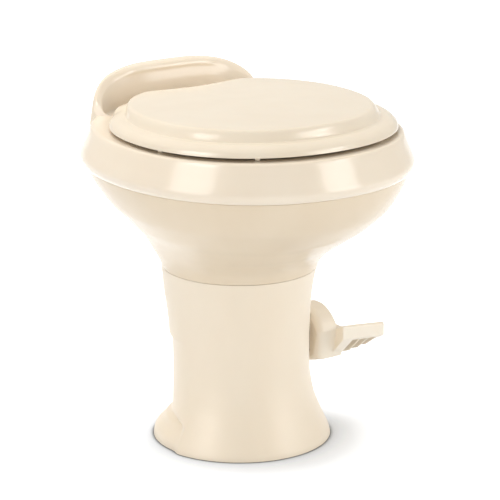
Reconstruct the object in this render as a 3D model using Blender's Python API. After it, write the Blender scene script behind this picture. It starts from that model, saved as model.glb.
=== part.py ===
"""Gravity-flush toilet for a recreational vehicle, with a foot pedal on its right side.

Metres, +Z up, the front faces -Y and the pedal is on the +X side. The origin is on the floor, under
the middle of the upper ring. The pedestal stands behind it, on its own upright axis.
"""
import math

import bmesh
import bpy
from mathutils import Matrix, Vector

# Clearances and overruns shared by the whole part
FIT = 0.0003
SLIP = 0.0005
OVERRUN = 0.004
SHELL_WALL = 0.0032
PLAN_POWER = 2.12

# Upper ring, its bulge, deck and hood
RING_HALF_WIDTH = 0.2035
RING_HALF_DEPTH = 0.2195
SEAM_DROP = 0.0478
SEAM_INSET = 0.005
BULGE_RISE = 0.011
DECK_HEIGHT = 0.4148
HOOD_RISE = 0.0535
HOOD_DEPTH = 0.043
HOOD_FLAT_HALF = 0.034
HOOD_SHOULDER = 0.101
HOOD_WING_START = 0.060
HOOD_WING_END = 0.115
HOOD_FACE_CURL = 0.014
HOOD_CURL_HALF = 0.104
MOUTH_HALF_WIDTH = 0.134
MOUTH_HALF_DEPTH = 0.142
MOUTH_Y = -0.030
LIP_DROP = 0.010

# Lower bowl cover and pedestal
PEDESTAL_Y = 0.0152
COLLAR_RISE = 0.067325
COLLAR_RADIUS = 0.100
COLLAR_ROUND_SHARE = 0.2
BOWL_FORWARD = 0.028
SEAM_STEP = 0.0012
TONGUE_RISE = 0.009
FOOT_RADIUS = 0.1186
WAIST_RADIUS = 0.0905
BACK_RADIUS = 0.0870
BASE_WALL = 0.0035
FLOOR_PLATE = 0.008
LEDGE_REACH = 0.0085
LEDGE_THICK = 0.004
POCKET_TURN = math.radians(80)
POCKET_BLEND = math.radians(9)
POCKET_SPREAD = math.radians(44)
LOBE_TOP_SHARE = 0.120
SPREAD_FULL_SHARE = 0.200
BOLT_SPACING = 0.1588
BOLT_SLOT_WIDTH = 0.011
BOLT_SLOT_LENGTH = 0.018

# Shaft, ball and discharge
SHAFT_HEIGHT = 0.109
SHAFT_RADIUS = 0.007
SHAFT_BORE = 0.0029
SHAFT_START = 0.046
BUSH_WALL = 0.0027
BALL_RADIUS = 0.056
BALL_WALL = 0.0035
BALL_CAP_ANGLE = math.radians(41.5)
BALL_EAR_ANGLE = math.radians(104)
BALL_BOSS_RADIUS = 0.012
BALL_BOSS_LENGTH = 0.009
OUTLET_RADIUS = 0.033
SEAL_GAP = 0.0009
SEAL_WIDTH = 0.0055
SEAL_FLANGE = 0.007
SEAL_THICK = 0.0034
HOUSING_GAP = 0.004
HOUSING_WALL = 0.0035
PLATE_THICK = 0.004
DRAIN_RADIUS = 0.050
FLOOR_SEAL_WALL = 0.0095

# Inner bowl
BOWL_WALL = 0.004
BOWL_FLANGE_RADIUS = 0.058
BOWL_FLANGE_THICK = 0.004
BOWL_SCREW_CIRCLE = 0.0525
BOWL_SCREW_RADIUS = 0.002
BOWL_SCREW_HEAD = 0.004
BOWL_SCREW_HEAD_THICK = 0.0028

# Pedal, its spring and the water valve's cam
BOSS_RADIUS = 0.018
BOSS_FACE = 0.0957
HUB_RADIUS = 0.048
HUB_WIDTH = 0.030
HUB_GAP = 0.001
HUB_WALL = 0.004
HUB_CHIN_FRONT = 0.0435
HUB_CHIN_TOP = 0.020
HUB_CHIN_BACK = 0.0365
HUB_CHIN_LOW = 0.0205
HUB_HEEL_BACK = 0.027
HUB_HEEL_LOW = 0.0397
HUB_BORE_DEPTH = 0.009
HUB_HOLLOW_FRONT = 0.0205
HUB_POCKET_TOP = 0.034
HUB_POCKET_LOW = 0.060
KNEE_LENGTH = 0.012
KNEE_BACK = 0.016
PAD_LENGTH = 0.069
PAD_NOSE = 0.0605
PAD_NOSE_THICK = 0.0185
PAD_NOSE_TOP = 0.0255
PAD_NOSE_ROUND = 0.003
PAD_HEEL = 0.012
PAD_HEEL_LOW = 0.0360
PAD_HEEL_TOP = 0.0105
PAD_SKIN = 0.004
PAD_RIB = 0.0026
PEDAL_SCREW_HEAD = 0.006
PEDAL_SCREW_THICK = 0.0028
PEDAL_SCREW_LENGTH = 0.014
CARTRIDGE_LENGTH = 0.0155
CARTRIDGE_WALL = 0.002
SPRING_WIRE = 0.0011
SPRING_RADIUS = 0.0122
SPRING_TURNS = 4
PEDAL_SCREW_POCKET = 0.004
CAM_X = 0.074
CAM_WIDTH = 0.006
CAM_RADIUS = 0.013
CAM_LIFT = 0.006
PEDAL_TRAVEL = math.radians(80)
PLUNGER_RADIUS = 0.0034
PLUNGER_TIP = 0.0012
PLUNGER_GAP = 0.0007
VALVE_RADIUS = 0.0115
VALVE_LENGTH = 0.040
VALVE_WALL = 0.0025
VALVE_CAP_THICK = 0.003
PISTON_TRAVEL = 0.002
PISTON_THICK = 0.006
INLET_RADIUS = 0.0105
INLET_BORE = 0.0065
INLET_HEIGHT = 0.014
INLET_REACH = 0.100

# Vacuum breaker and hoses
BREAKER_SET = 0.0135
BREAKER_RADIUS = 0.0078
BREAKER_WALL = 0.002
BREAKER_RISE = 0.0132
BREAKER_BODY = 0.040
BREAKER_CAP_THICK = 0.004
FLOAT_TRAVEL = 0.0025
FLOAT_THICK = 0.005
SPIGOT_RADIUS = 0.0045
SPIGOT_BORE = 0.003
SPIGOT_LENGTH = 0.014
HOSE_WALL = 0.0022
CLAMP_WIDTH = 0.006
CLAMP_THICK = 0.0014
NOZZLE_FLANGE = 0.008

# Hinge, seat and lid
HINGE_Y = 0.133
HINGE_RISE = 0.0097
HINGE_BARREL = 0.005
HINGE_PIN_RADIUS = 0.0025
HINGE_POST_X = 0.074
HINGE_POST_WIDTH = 0.0094
HINGE_LUG_WIDTH = 0.007
HINGE_STUD_RADIUS = 0.003
HINGE_STUD_LENGTH = 0.016
NUT_RADIUS = 0.0062
NUT_THICK = 0.007
NUT_WING_REACH = 0.011
NUT_WING_THICK = 0.0024
LID_Y = -0.0164
LID_HALF_WIDTH = 0.1805
LID_HALF_DEPTH = 0.1764
LID_EDGE_RISE = 0.0049
LID_LEDGE_RISE = 0.0133
LID_LEDGE_HALF_WIDTH = 0.1605
LID_LEDGE_HALF_DEPTH = 0.1530
LID_LEDGE_Y = -0.0146
LID_TOP_RISE = 0.0134
LID_TOP_HALF_WIDTH = 0.1522
LID_TOP_HALF_DEPTH = 0.1510
LID_TOP_Y = -0.0088
LID_CROWN = 0.0022
LID_WALL = 0.003
LID_REAR_Y = 0.141
LID_LEDGE_REAR_Y = 0.129
LID_TOP_REAR_Y = 0.1145
LID_TOP_REAR_CURL = 0.018
LID_TOP_CURL_HALF = 0.090
LID_REAR_LIFT = 0.0106
LID_REAR_SOFTNESS = 0.005
SEAT_INSET = 0.0085
SEAT_REAR_GAP = 0.0085
SEAT_RISE = 0.0032
SEAT_THICK = 0.009
SEAT_WALL = 0.003
SEAT_HOLE_HALF_WIDTH = 0.101
SEAT_HOLE_HALF_DEPTH = 0.118
SEAT_HOLE_Y = -0.031
BUMPER_TURNS = (math.radians(31.7), math.radians(76.6))
BUMPER_WIDTH = 0.006
BUMPER_LENGTH = 0.010
LID_PAD_RADIUS = 0.004
LID_PAD_INSET = 0.0225

# Facets
SHELL_STATIONS = 32
LID_STATIONS = 36
TURNED_SIDES = 24
ROUND_SIDES = 12
SMALL_SIDES = 8
HOSE_SIDES = 8

# Heights derived from the sizes above
SEAM_HEIGHT = DECK_HEIGHT - SEAM_DROP
BULGE_HEIGHT = SEAM_HEIGHT + BULGE_RISE
HOOD_HEIGHT = DECK_HEIGHT + HOOD_RISE
HINGE_HEIGHT = DECK_HEIGHT + HINGE_RISE
SEAT_LOW = DECK_HEIGHT + SEAT_RISE
SEAT_TOP = SEAT_LOW + SEAT_THICK
LID_EDGE_HEIGHT = DECK_HEIGHT + LID_EDGE_RISE
LID_LEDGE_HEIGHT = LID_EDGE_HEIGHT + LID_LEDGE_RISE
LID_TOP_HEIGHT = LID_LEDGE_HEIGHT + LID_TOP_RISE
BREAKER_HIGH = DECK_HEIGHT + BREAKER_RISE
BREAKER_LOW = BREAKER_HIGH - BREAKER_BODY
RING_TOP_UNDER = DECK_HEIGHT - SHELL_WALL
SEAL_CONTACT = math.sqrt(BALL_RADIUS ** 2 - (OUTLET_RADIUS + SLIP) ** 2)
SEAL_LOW = SHAFT_HEIGHT + SEAL_CONTACT + SEAL_GAP
PLATE_LOW = SEAL_LOW + SEAL_THICK
PLATE_TOP = PLATE_LOW + PLATE_THICK
COLLAR_HEIGHT = PLATE_TOP + COLLAR_RISE
BOWL_LOW = PLATE_TOP + FIT + SEAL_THICK + FIT
HOUSING_INNER = BALL_RADIUS + HOUSING_GAP
HOUSING_OUTER = HOUSING_INNER + HOUSING_WALL
HUB_INNER_X = BOSS_FACE + HUB_GAP
HUB_OUTER_X = HUB_INNER_X + HUB_WIDTH
HOSE_BORE = SPIGOT_RADIUS + 2 * FIT
HOSE_RADIUS = HOSE_BORE + HOSE_WALL
HOOD_FACE_Y = RING_HALF_DEPTH - HOOD_DEPTH
BREAKER_Y = HOOD_FACE_Y + BREAKER_SET
SEAT_REAR_Y = HINGE_Y - SEAT_REAR_GAP

CREAM = (0.86, 0.77, 0.64)
CREAM_LID = (0.90, 0.81, 0.68)
BOWL_WHITE = (0.88, 0.80, 0.68)
SEAL_GREY = (0.10, 0.10, 0.10)
STEEL = (0.62, 0.62, 0.60)
BLACK_NYLON = (0.05, 0.05, 0.05)
HOSE_GREY = (0.55, 0.55, 0.52)


def signed_power(value, power):
    return math.copysign(abs(value) ** power, value)


def plan_point(half_width, half_depth, centre_y, turn):
    """A point of the rounded plan outline; turn 0 is the front and a quarter turn is the +X side."""
    x = half_width * signed_power(math.sin(turn), 2 / PLAN_POWER)
    y = centre_y - half_depth * signed_power(math.cos(turn), 2 / PLAN_POWER)
    return Vector((x, y))


def even_turns(count):
    return [2 * math.pi * (index + 0.5) / count for index in range(count)]


def soft_limit(value, limit, softness):
    """The value, eased so that it never passes the limit."""
    return limit - softness * math.log1p(math.exp(min((limit - value) / softness, 500.0)))


def smooth_share(value, low, high):
    share = min(max((value - low) / (high - low), 0.0), 1.0)
    return share * share * (3 - 2 * share)


def table_value(rows, key, column):
    """Straight interpolation in a table whose first column rises."""
    if key <= rows[0][0]:
        return rows[0][column]
    for low, high in zip(rows, rows[1:]):
        if key <= high[0]:
            share = (key - low[0]) / (high[0] - low[0])
            return low[column] + share * (high[column] - low[column])
    return rows[-1][column]


def plastic(name, colour, roughness=0.3, metallic=0.0):
    material = bpy.data.materials.get(name) or bpy.data.materials.new(name)
    material.use_nodes = True
    shader = material.node_tree.nodes["Principled BSDF"]
    shader.inputs["Base Color"].default_value = (*colour, 1.0)
    shader.inputs["Roughness"].default_value = roughness
    shader.inputs["Metallic"].default_value = metallic
    return material


def add_object(name, mesh, material=None, origin=None, parent=None, sharp=math.radians(35)):
    """Put a mesh built in world places into the scene, with its origin moved to a given point."""
    if material:
        mesh.materials.append(material)
    mesh.shade_smooth()
    mesh.set_sharp_from_angle(angle=sharp)
    item = bpy.data.objects.new(name, mesh)
    bpy.context.scene.collection.objects.link(item)
    if origin is not None:
        mesh.transform(Matrix.Translation(-origin))
        item.location = origin
    if parent:
        item.location = item.location - parent.location
        item.parent = parent
    return item


def axis_empty(name, place):
    empty = bpy.data.objects.new(name, None)
    empty.location = place
    bpy.context.scene.collection.objects.link(empty)
    return empty


def mesh_from(vertices, faces, name):
    """A mesh from points and faces, with its faces turned outwards."""
    mesh = bpy.data.meshes.new(name)
    mesh.from_pydata([tuple(point) for point in vertices], [], faces)
    work = bmesh.new()
    work.from_mesh(mesh)
    bmesh.ops.recalc_face_normals(work, faces=work.faces)
    work.to_mesh(mesh)
    work.free()
    mesh.validate()
    return mesh


def loft(name, loops):
    """Close a ring of closed loops into one skin: a shell with a hole through it."""
    sides = len(loops[0])
    vertices = [point for loop in loops for point in loop]
    faces = []
    for station in range(len(loops)):
        after = (station + 1) % len(loops)
        for index in range(sides):
            following = (index + 1) % sides
            faces.append((station * sides + index, station * sides + following,
                          after * sides + following, after * sides + index))
    return mesh_from(vertices, faces, name)


def dome(name, profiles, top, bottom):
    """Close a fan of open profiles between a top point and a bottom point."""
    sides = len(profiles[0])
    vertices = [point for profile in profiles for point in profile] + [top, bottom]
    top_index, bottom_index = len(vertices) - 2, len(vertices) - 1
    faces = []
    for station in range(len(profiles)):
        after = (station + 1) % len(profiles)
        faces.append((top_index, station * sides, after * sides))
        faces.append((bottom_index, after * sides + sides - 1, station * sides + sides - 1))
        for index in range(sides - 1):
            faces.append((station * sides + index, station * sides + index + 1,
                          after * sides + index + 1, after * sides + index))
    return mesh_from(vertices, faces, name)


def prism(name, outline, start, end):
    """An outline of (y, z) points, carried from one x to another."""
    count = len(outline)
    vertices = [(start, y, z) for y, z in outline] + [(end, y, z) for y, z in outline]
    faces = [tuple(range(count)), tuple(reversed(range(count, 2 * count)))]
    for index in range(count):
        following = (index + 1) % count
        faces.append((index, index + count, following + count, following))
    return mesh_from(vertices, faces, name)


def frame_across(direction):
    """Two unit vectors across a direction."""
    side = direction.orthogonal().normalized()
    return side, direction.cross(side).normalized()


def ring_about(name, start, end, outer, inner, sides=ROUND_SIDES):
    """A plain tube between two points."""
    return turned_ring(name, start, (end - start).normalized(),
                       [(0, outer), ((end - start).length, outer),
                        ((end - start).length, inner), (0, inner)], sides)


def turned_ring(name, base, direction, outline, sides=ROUND_SIDES):
    """A closed outline of (along, radius) points turned about a line, clear of the line."""
    across, upright = frame_across(direction)
    loops = []
    for index in range(sides):
        turn = 2 * math.pi * index / sides
        ray = across * math.cos(turn) + upright * math.sin(turn)
        loops.append([base + direction * along + ray * radius for along, radius in outline])
    return loft(name, loops)


def turned_solid(name, base, direction, outline, sides=ROUND_SIDES):
    """An open outline of (along, radius) points turned about a line and closed on it."""
    across, upright = frame_across(direction)
    profiles = []
    for index in range(sides):
        turn = 2 * math.pi * index / sides
        ray = across * math.cos(turn) + upright * math.sin(turn)
        profiles.append([base + direction * along + ray * radius for along, radius in outline])
    return dome(name, profiles, base + direction * outline[0][0], base + direction * outline[-1][0])


def rod(name, start, end, radius, sides=ROUND_SIDES):
    return turned_solid(name, start, (end - start).normalized(),
                        [(0, radius), ((end - start).length, radius)], sides)


def block(name, low, high):
    work = bmesh.new()
    bmesh.ops.create_cube(work, size=1.0)
    for vertex in work.verts:
        for axis in range(3):
            middle = (low[axis] + high[axis]) / 2
            vertex.co[axis] = middle + vertex.co[axis] * (high[axis] - low[axis])
    mesh = bpy.data.meshes.new(name)
    work.to_mesh(mesh)
    work.free()
    return mesh


def joined(name, meshes):
    """Several closed meshes in one, for a cutter with more than one body."""
    work = bmesh.new()
    for mesh in meshes:
        work.from_mesh(mesh)
    result = bpy.data.meshes.new(name)
    work.to_mesh(result)
    work.free()
    return result


def shape_with(item, operation, tool_mesh):
    """Cut a tool from an object, or weld it on, with an exact Boolean."""
    tool = bpy.data.objects.new(tool_mesh.name + "_tool", tool_mesh)
    bpy.context.scene.collection.objects.link(tool)
    if item.parent:
        tool.location = -item.parent.location - item.location
        tool.location = (0, 0, 0)
    tool.hide_render = True
    tool.display_type = "WIRE"
    modifier = item.modifiers.new(tool_mesh.name, "BOOLEAN")
    modifier.operation = operation
    modifier.solver = "EXACT"
    modifier.object = tool
    return modifier


def inner_skin(points, thickness, inward):
    """The other side of a sheet: each profile point moved square to the profile, into the part."""
    start = points[0]
    flat = [((point - start).xy.dot(inward), point.z) for point in points]
    moved = []
    for index, point in enumerate(points):
        before = flat[max(index - 1, 0)]
        after = flat[min(index + 1, len(flat) - 1)]
        along = Vector((after[0] - before[0], after[1] - before[1])).normalized()
        step = Vector((inward.x * along.y, inward.y * along.y, -along.x)) * thickness
        moved.append(point + step)
    return moved


# Shape tables, as shares of the sizes above

# rise from collar to seam, spread of width, spread of depth, how far forward
COVER_SHARES = [
    (0.000, 0.008, 0.008, 0.00),
    (0.022, 0.012, 0.012, 0.00),
    (0.050, 0.022, 0.022, 0.00),
    (0.091, 0.044, 0.044, 0.00),
    (0.185, 0.123, 0.122, 0.10),
    (0.287, 0.231, 0.230, 0.40),
    (0.382, 0.347, 0.345, 0.65),
    (0.476, 0.484, 0.481, 0.81),
    (0.578, 0.619, 0.614, 0.86),
    (0.673, 0.745, 0.740, 0.80),
    (0.818, 0.879, 0.873, 0.70),
    (0.920, 0.955, 0.948, 0.62),
    (1.000, 1.000, 1.000, 0.543),
]

# rise from floor to collar, flare of the front between waist and foot
FRONT_SHARES = [
    (0.000, 1.00), (0.013, 0.985), (0.061, 0.84), (0.122, 0.61), (0.179, 0.42), (0.240, 0.24),
    (0.296, 0.14), (0.383, 0.03), (0.480, 0.00), (0.590, 0.00), (0.675, 0.02), (0.762, 0.05),
    (0.850, 0.11), (0.935, 0.21), (1.000, 0.31),
]

# rise from floor to collar, flare of the back: a round lobe at the foot and a step under the collar
BACK_SHARES = [
    (0.000, 0.84), (0.035, 0.80), (0.061, 0.69), (0.092, 0.47), (0.122, 0.31), (0.146, 0.09),
    (0.185, 0.01), (0.260, 0.00), (0.440, 0.00), (0.585, 0.03), (0.605, 0.15), (0.680, 0.20),
    (0.765, 0.27), (0.850, 0.36), (1.000, 0.41),
]

# rise from outlet to mouth, spread from outlet to mouth, how far forward
BOWL_SHARES = [
    (0.000, 0.000, 0.00), (0.050, 0.015, 0.00), (0.130, 0.090, 0.02), (0.210, 0.200, 0.06),
    (0.300, 0.340, 0.12), (0.400, 0.500, 0.30), (0.520, 0.680, 0.56), (0.640, 0.820, 0.76),
    (0.770, 0.915, 0.90), (0.890, 0.975, 0.98), (0.950, 1.000, 1.00), (1.000, 1.000, 1.00),
]


def ring_inset_point(inset, height, turn):
    flat = plan_point(RING_HALF_WIDTH - inset, RING_HALF_DEPTH - inset, 0, turn)
    return Vector((flat.x, flat.y, height))


def hood_share(place):
    """How much of the hood's height stands over a point of the ring: flat, then a round shoulder."""
    if place.y < 0:
        return 0.0
    run = min(max(abs(place.x) - HOOD_FLAT_HALF, 0.0) / HOOD_SHOULDER, 1.0)
    return (1.0 - run ** 2.2) ** (1 / 2.2)


def hood_face_point(start, mouth):
    """Where the hood's front face stands on the line from the ring's edge to the bowl's mouth."""
    place = start
    for _ in range(6):
        face_y = HOOD_FACE_Y - HOOD_FACE_CURL * (abs(place.x) / HOOD_CURL_HALF) ** 3
        place = start.lerp(mouth, min(max((face_y - start.y) / (mouth.y - start.y), 0.0), 0.6))
    return place


# for each row of the ring's skin: rise and reach of the plain ring, then rise of the hood and its
# reach in the middle and in its wings
RIM_SHARES = [
    (0.200, 0.051, 0.240, 0.070, 0.060),
    (0.450, 0.142, 0.459, 0.147, 0.116),
    (0.700, 0.230, 0.656, 0.219, 0.163),
    (0.905, 0.305, 0.809, 0.284, 0.195),
    (0.982, 0.353, 0.895, 0.347, 0.221),
    (1.000, 0.419, 0.968, 0.419, 0.251),
    (1.000, 0.495, 0.996, 0.498, 0.308),
    (1.000, 0.567, 0.998, 0.660, 0.400),
    (1.000, 0.630, 0.965, 0.802, 0.500),
    (1.000, 0.693, 0.915, 0.865, 0.600),
    (1.000, 0.737, 0.872, 0.851, 0.685),
    (1.000, 0.781, 0.780, 0.884, 0.779),
    (1.000, 0.835, 0.540, 0.956, 0.930),
]

# half-width shares of the stations behind the ring's middle, closer where the hood ends
REAR_SHARES = [0.992, 0.940, 0.860, 0.765, 0.700, 0.661, 0.643, 0.618, 0.587, 0.538, 0.460, 0.352, 0.220,
               0.078]
FRONT_STATIONS = 9


def ring_profile(turn):
    """The ring's outer skin at one station, from the seam up, over and in to the bowl's mouth."""
    start = plan_point(RING_HALF_WIDTH, RING_HALF_DEPTH, 0, turn)
    mouth = plan_point(MOUTH_HALF_WIDTH, MOUTH_HALF_DEPTH, MOUTH_Y, turn)
    share = hood_share(start)
    reach = share ** 0.35
    face = hood_face_point(start, mouth) if share > 0 else start
    points = [
        ring_inset_point(SEAM_INSET, SEAM_HEIGHT, turn),
        ring_inset_point(SEAM_INSET * 0.3, SEAM_HEIGHT + BULGE_RISE * 0.42, turn),
        ring_inset_point(0, BULGE_HEIGHT, turn),
    ]
    wing = smooth_share(abs(start.x), HOOD_WING_START, HOOD_WING_END)
    for ring_rise, ring_reach, hood_rise, middle_reach, wing_reach in RIM_SHARES:
        hood_reach = middle_reach + wing * (wing_reach - middle_reach)
        low = BULGE_HEIGHT + ring_rise * (DECK_HEIGHT - BULGE_HEIGHT)
        high = BULGE_HEIGHT + hood_rise * (HOOD_HEIGHT - BULGE_HEIGHT)
        plain = ring_inset_point(ring_reach * HOOD_DEPTH, low, turn)
        spot = plain.xy.lerp(start.lerp(face, hood_reach), reach)
        points.append(Vector((spot.x, spot.y, low + share * (high - low))))
    plain = ring_inset_point(0.94 * HOOD_DEPTH, DECK_HEIGHT, turn)
    spot = plain.xy.lerp(face, reach)
    foot = Vector((spot.x, spot.y, DECK_HEIGHT))
    edge = Vector((mouth.x, mouth.y, DECK_HEIGHT))
    outward = (foot - edge).normalized()
    points.append(foot)
    points.append(foot.lerp(edge, 0.5))
    points.append(edge + outward * (SHELL_WALL * 0.5))
    points.append(edge - Vector((0, 0, SHELL_WALL * 0.5)))
    points.append(edge - Vector((0, 0, LIP_DROP)))
    return points


def ring_turns():
    turns = [math.pi / 2 * (index + 0.5) / FRONT_STATIONS for index in range(FRONT_STATIONS)]
    turns += [math.pi - math.asin(share ** (PLAN_POWER / 2)) for share in REAR_SHARES]
    return turns + [2 * math.pi - turn for turn in reversed(turns)]


def make_rim_shell():
    loops = []
    for turn in ring_turns():
        outer = ring_profile(turn)
        inward = (outer[-1] - outer[0]).xy.normalized()
        inner = inner_skin(outer, SHELL_WALL, inward)
        loops.append(outer + list(reversed(inner[::2])))
    shell = add_object("rim_shell", loft("rim_shell", loops), plastic("ring_plastic", CREAM, 0.22))
    holes = []
    for side in (-1, 1):
        place = Vector((side * HINGE_POST_X, HINGE_Y, DECK_HEIGHT))
        drop = Vector((0, 0, SHELL_WALL + OVERRUN))
        holes.append(rod("stud_hole", place - drop, place + drop, HINGE_STUD_RADIUS + SLIP, SMALL_SIDES))
    shape_with(shell, "DIFFERENCE", joined("stud_holes", holes))


def cover_point(rise, width_share, depth_share, forward, turn):
    seam_width = RING_HALF_WIDTH - SEAM_INSET - SEAM_STEP
    seam_depth = RING_HALF_DEPTH - SEAM_INSET - SEAM_STEP
    half_width = COLLAR_RADIUS + width_share * (seam_width - COLLAR_RADIUS)
    half_depth = COLLAR_RADIUS + depth_share * (seam_depth - COLLAR_RADIUS)
    centre = PEDESTAL_Y - forward * BOWL_FORWARD
    flat = plan_point(half_width, half_depth, centre, turn)
    if rise < COLLAR_ROUND_SHARE:
        circle = Vector((half_width * math.sin(turn), centre - half_depth * math.cos(turn)))
        flat = circle.lerp(flat, rise / COLLAR_ROUND_SHARE)
    height = COLLAR_HEIGHT + rise * (SEAM_HEIGHT - FIT - COLLAR_HEIGHT)
    return Vector((flat.x, flat.y, height))


def make_bowl_cover():
    loops = []
    for turn in even_turns(SHELL_STATIONS):
        outer = [cover_point(*row, turn) for row in COVER_SHARES]
        centre = Vector((0, PEDESTAL_Y))
        inward = (centre - outer[0].xy).normalized()
        inner = inner_skin(outer, SHELL_WALL, inward)
        for skin, wall in zip(inner, outer):
            skin.z = wall.z
        inner[-1] = inner[-1] + Vector((inward.x, inward.y, 0)) * SLIP
        step = Vector((inward.x, inward.y, 0)) * (SHELL_WALL + SLIP + SEAM_STEP)
        low_step = outer[-1] + step
        high_step = low_step + Vector((0, 0, TONGUE_RISE))
        high_back = high_step + Vector((inward.x, inward.y, 0)) * SHELL_WALL
        low_back = low_step + Vector((inward.x, inward.y, 0)) * SHELL_WALL
        low_back.z -= TONGUE_RISE
        loops.append(outer + [low_step, high_step, high_back, low_back]
                     + list(reversed(inner[:-1:2])))
    add_object("bowl_cover", loft("bowl_cover", loops), plastic("cover_plastic", CREAM, 0.22))


def base_radius(rise, turn):
    """The pedestal's radius at a height share, flared in front, with lobes and a step behind."""
    front = WAIST_RADIUS + table_value(FRONT_SHARES, rise, 1) * (FOOT_RADIUS - WAIST_RADIUS)
    back = BACK_RADIUS + table_value(BACK_SHARES, rise, 1) * (FOOT_RADIUS - BACK_RADIUS)
    around = min(turn, 2 * math.pi - turn)
    # the lobe has a clear front edge; above it the column thins out gently
    spread = POCKET_SPREAD * smooth_share(rise, LOBE_TOP_SHARE, SPREAD_FULL_SHARE)
    share = smooth_share(around, POCKET_TURN - POCKET_BLEND / 2, POCKET_TURN + POCKET_BLEND / 2 + spread)
    return front + share * (back - front)


def base_turns():
    turns = [math.pi * (index + 0.5) / BASE_HALF_STATIONS for index in range(BASE_HALF_STATIONS)]
    turns = [turn for turn in turns if abs(turn - POCKET_TURN) > POCKET_BLEND * 0.75]
    turns += [POCKET_TURN + POCKET_BLEND * share for share in (-0.5, -0.17, 0.17, 0.5)]
    turns = sorted(turns)
    return turns + [2 * math.pi - turn for turn in reversed(turns)]


BASE_HALF_STATIONS = 15
BASE_RISES = [0.0, 0.013, 0.040, 0.065, 0.092, 0.120, 0.146, 0.185, 0.270, 0.400, 0.580, 0.608, 0.680,
              0.800, 1.000]
BASE_INNER_RISES = [0.610, 0.570, 0.340, 0.200, 0.160, 0.120]


def base_wall_radius(height, turn):
    return base_radius(height / COLLAR_HEIGHT, turn) - BASE_WALL


def make_base():
    top = COLLAR_HEIGHT - FIT
    tongue = COLLAR_RADIUS - SHELL_WALL - SLIP
    ledge_top = PLATE_LOW - FIT
    ledge_low = ledge_top - LEDGE_THICK
    loops = []
    for turn in base_turns():
        profile = [(base_radius(rise, turn), rise * top) for rise in BASE_RISES]
        profile[-1] = (COLLAR_RADIUS, top)
        profile += [(tongue, top), (tongue, top + TONGUE_RISE), (tongue - BASE_WALL, top + TONGUE_RISE)]
        profile += [(base_wall_radius(0.9 * top, turn), 0.9 * top)]
        reach = base_wall_radius(ledge_low, turn) - LEDGE_REACH
        profile += [(base_wall_radius(ledge_top, turn), ledge_top), (reach, ledge_top),
                    (reach, ledge_low), (base_wall_radius(ledge_low, turn), ledge_low)]
        profile += [(base_wall_radius(rise * top, turn), rise * top) for rise in BASE_INNER_RISES]
        profile += [(base_wall_radius(FLOOR_PLATE, turn), FLOOR_PLATE), (DRAIN_RADIUS, FLOOR_PLATE),
                    (DRAIN_RADIUS, 0)]
        loops.append([Vector((radius * math.sin(turn), PEDESTAL_Y - radius * math.cos(turn), height))
                      for radius, height in profile])
    base = add_object("base_pedestal", loft("base_pedestal", loops), plastic("base_plastic", CREAM, 0.25))
    centre = Vector((0, PEDESTAL_Y, SHAFT_HEIGHT))
    boss = rod("shaft_boss", centre + Vector((WAIST_RADIUS - 2 * BASE_WALL, 0, 0)),
               centre + Vector((BOSS_FACE, 0, 0)), BOSS_RADIUS)
    shape_with(base, "UNION", boss)
    cuts = [rod("boss_bore", centre + Vector((HOUSING_OUTER + OVERRUN, 0, 0)),
                centre + Vector((BOSS_FACE + OVERRUN, 0, 0)), SHAFT_RADIUS + FIT + BUSH_WALL + FIT)]
    for side in (-1, 1):
        middle = Vector((side * BOLT_SPACING / 2, PEDESTAL_Y, 0))
        cuts.append(block("bolt_slot", middle - Vector((BOLT_SLOT_WIDTH / 2, BOLT_SLOT_LENGTH / 2, OVERRUN)),
                          middle + Vector((BOLT_SLOT_WIDTH / 2, BOLT_SLOT_LENGTH / 2,
                                           FLOOR_PLATE + OVERRUN))))
    port = inlet_axis()
    cuts.append(rod("inlet_port", port + Vector((0, VALVE_RADIUS + OVERRUN, 0)),
                    port + Vector((0, INLET_REACH, 0)), INLET_RADIUS + SLIP))
    shape_with(base, "DIFFERENCE", joined("base_cuts", cuts))


def inlet_axis():
    return Vector((CAM_X, PEDESTAL_Y, PLATE_TOP + FIT + INLET_HEIGHT))


def bowl_point(rise, spread, forward, turn, extra=0.0):
    mouth_width = MOUTH_HALF_WIDTH + SHELL_WALL + 3 * SLIP
    mouth_depth = MOUTH_HALF_DEPTH + SHELL_WALL + 3 * SLIP
    half_width = OUTLET_RADIUS + spread * (mouth_width - OUTLET_RADIUS) + extra
    half_depth = OUTLET_RADIUS + spread * (mouth_depth - OUTLET_RADIUS) + extra
    centre = PEDESTAL_Y + forward * (MOUTH_Y - PEDESTAL_Y)
    curved = plan_point(half_width, half_depth, centre, turn)
    circle = Vector((half_width * math.sin(turn), centre - half_depth * math.cos(turn)))
    flat = circle.lerp(curved, min(spread * 1.5, 1.0))
    return Vector((flat.x, flat.y, BOWL_LOW + rise * (RING_TOP_UNDER - FIT - BOWL_LOW)))


def nozzle_place():
    height = BREAKER_LOW + BREAKER_RADIUS
    rise = (height - BOWL_LOW) / (RING_TOP_UNDER - FIT - BOWL_LOW)
    spread = table_value(BOWL_SHARES, rise, 1)
    forward = table_value(BOWL_SHARES, rise, 2)
    return bowl_point(rise, spread, forward, math.pi)


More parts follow.
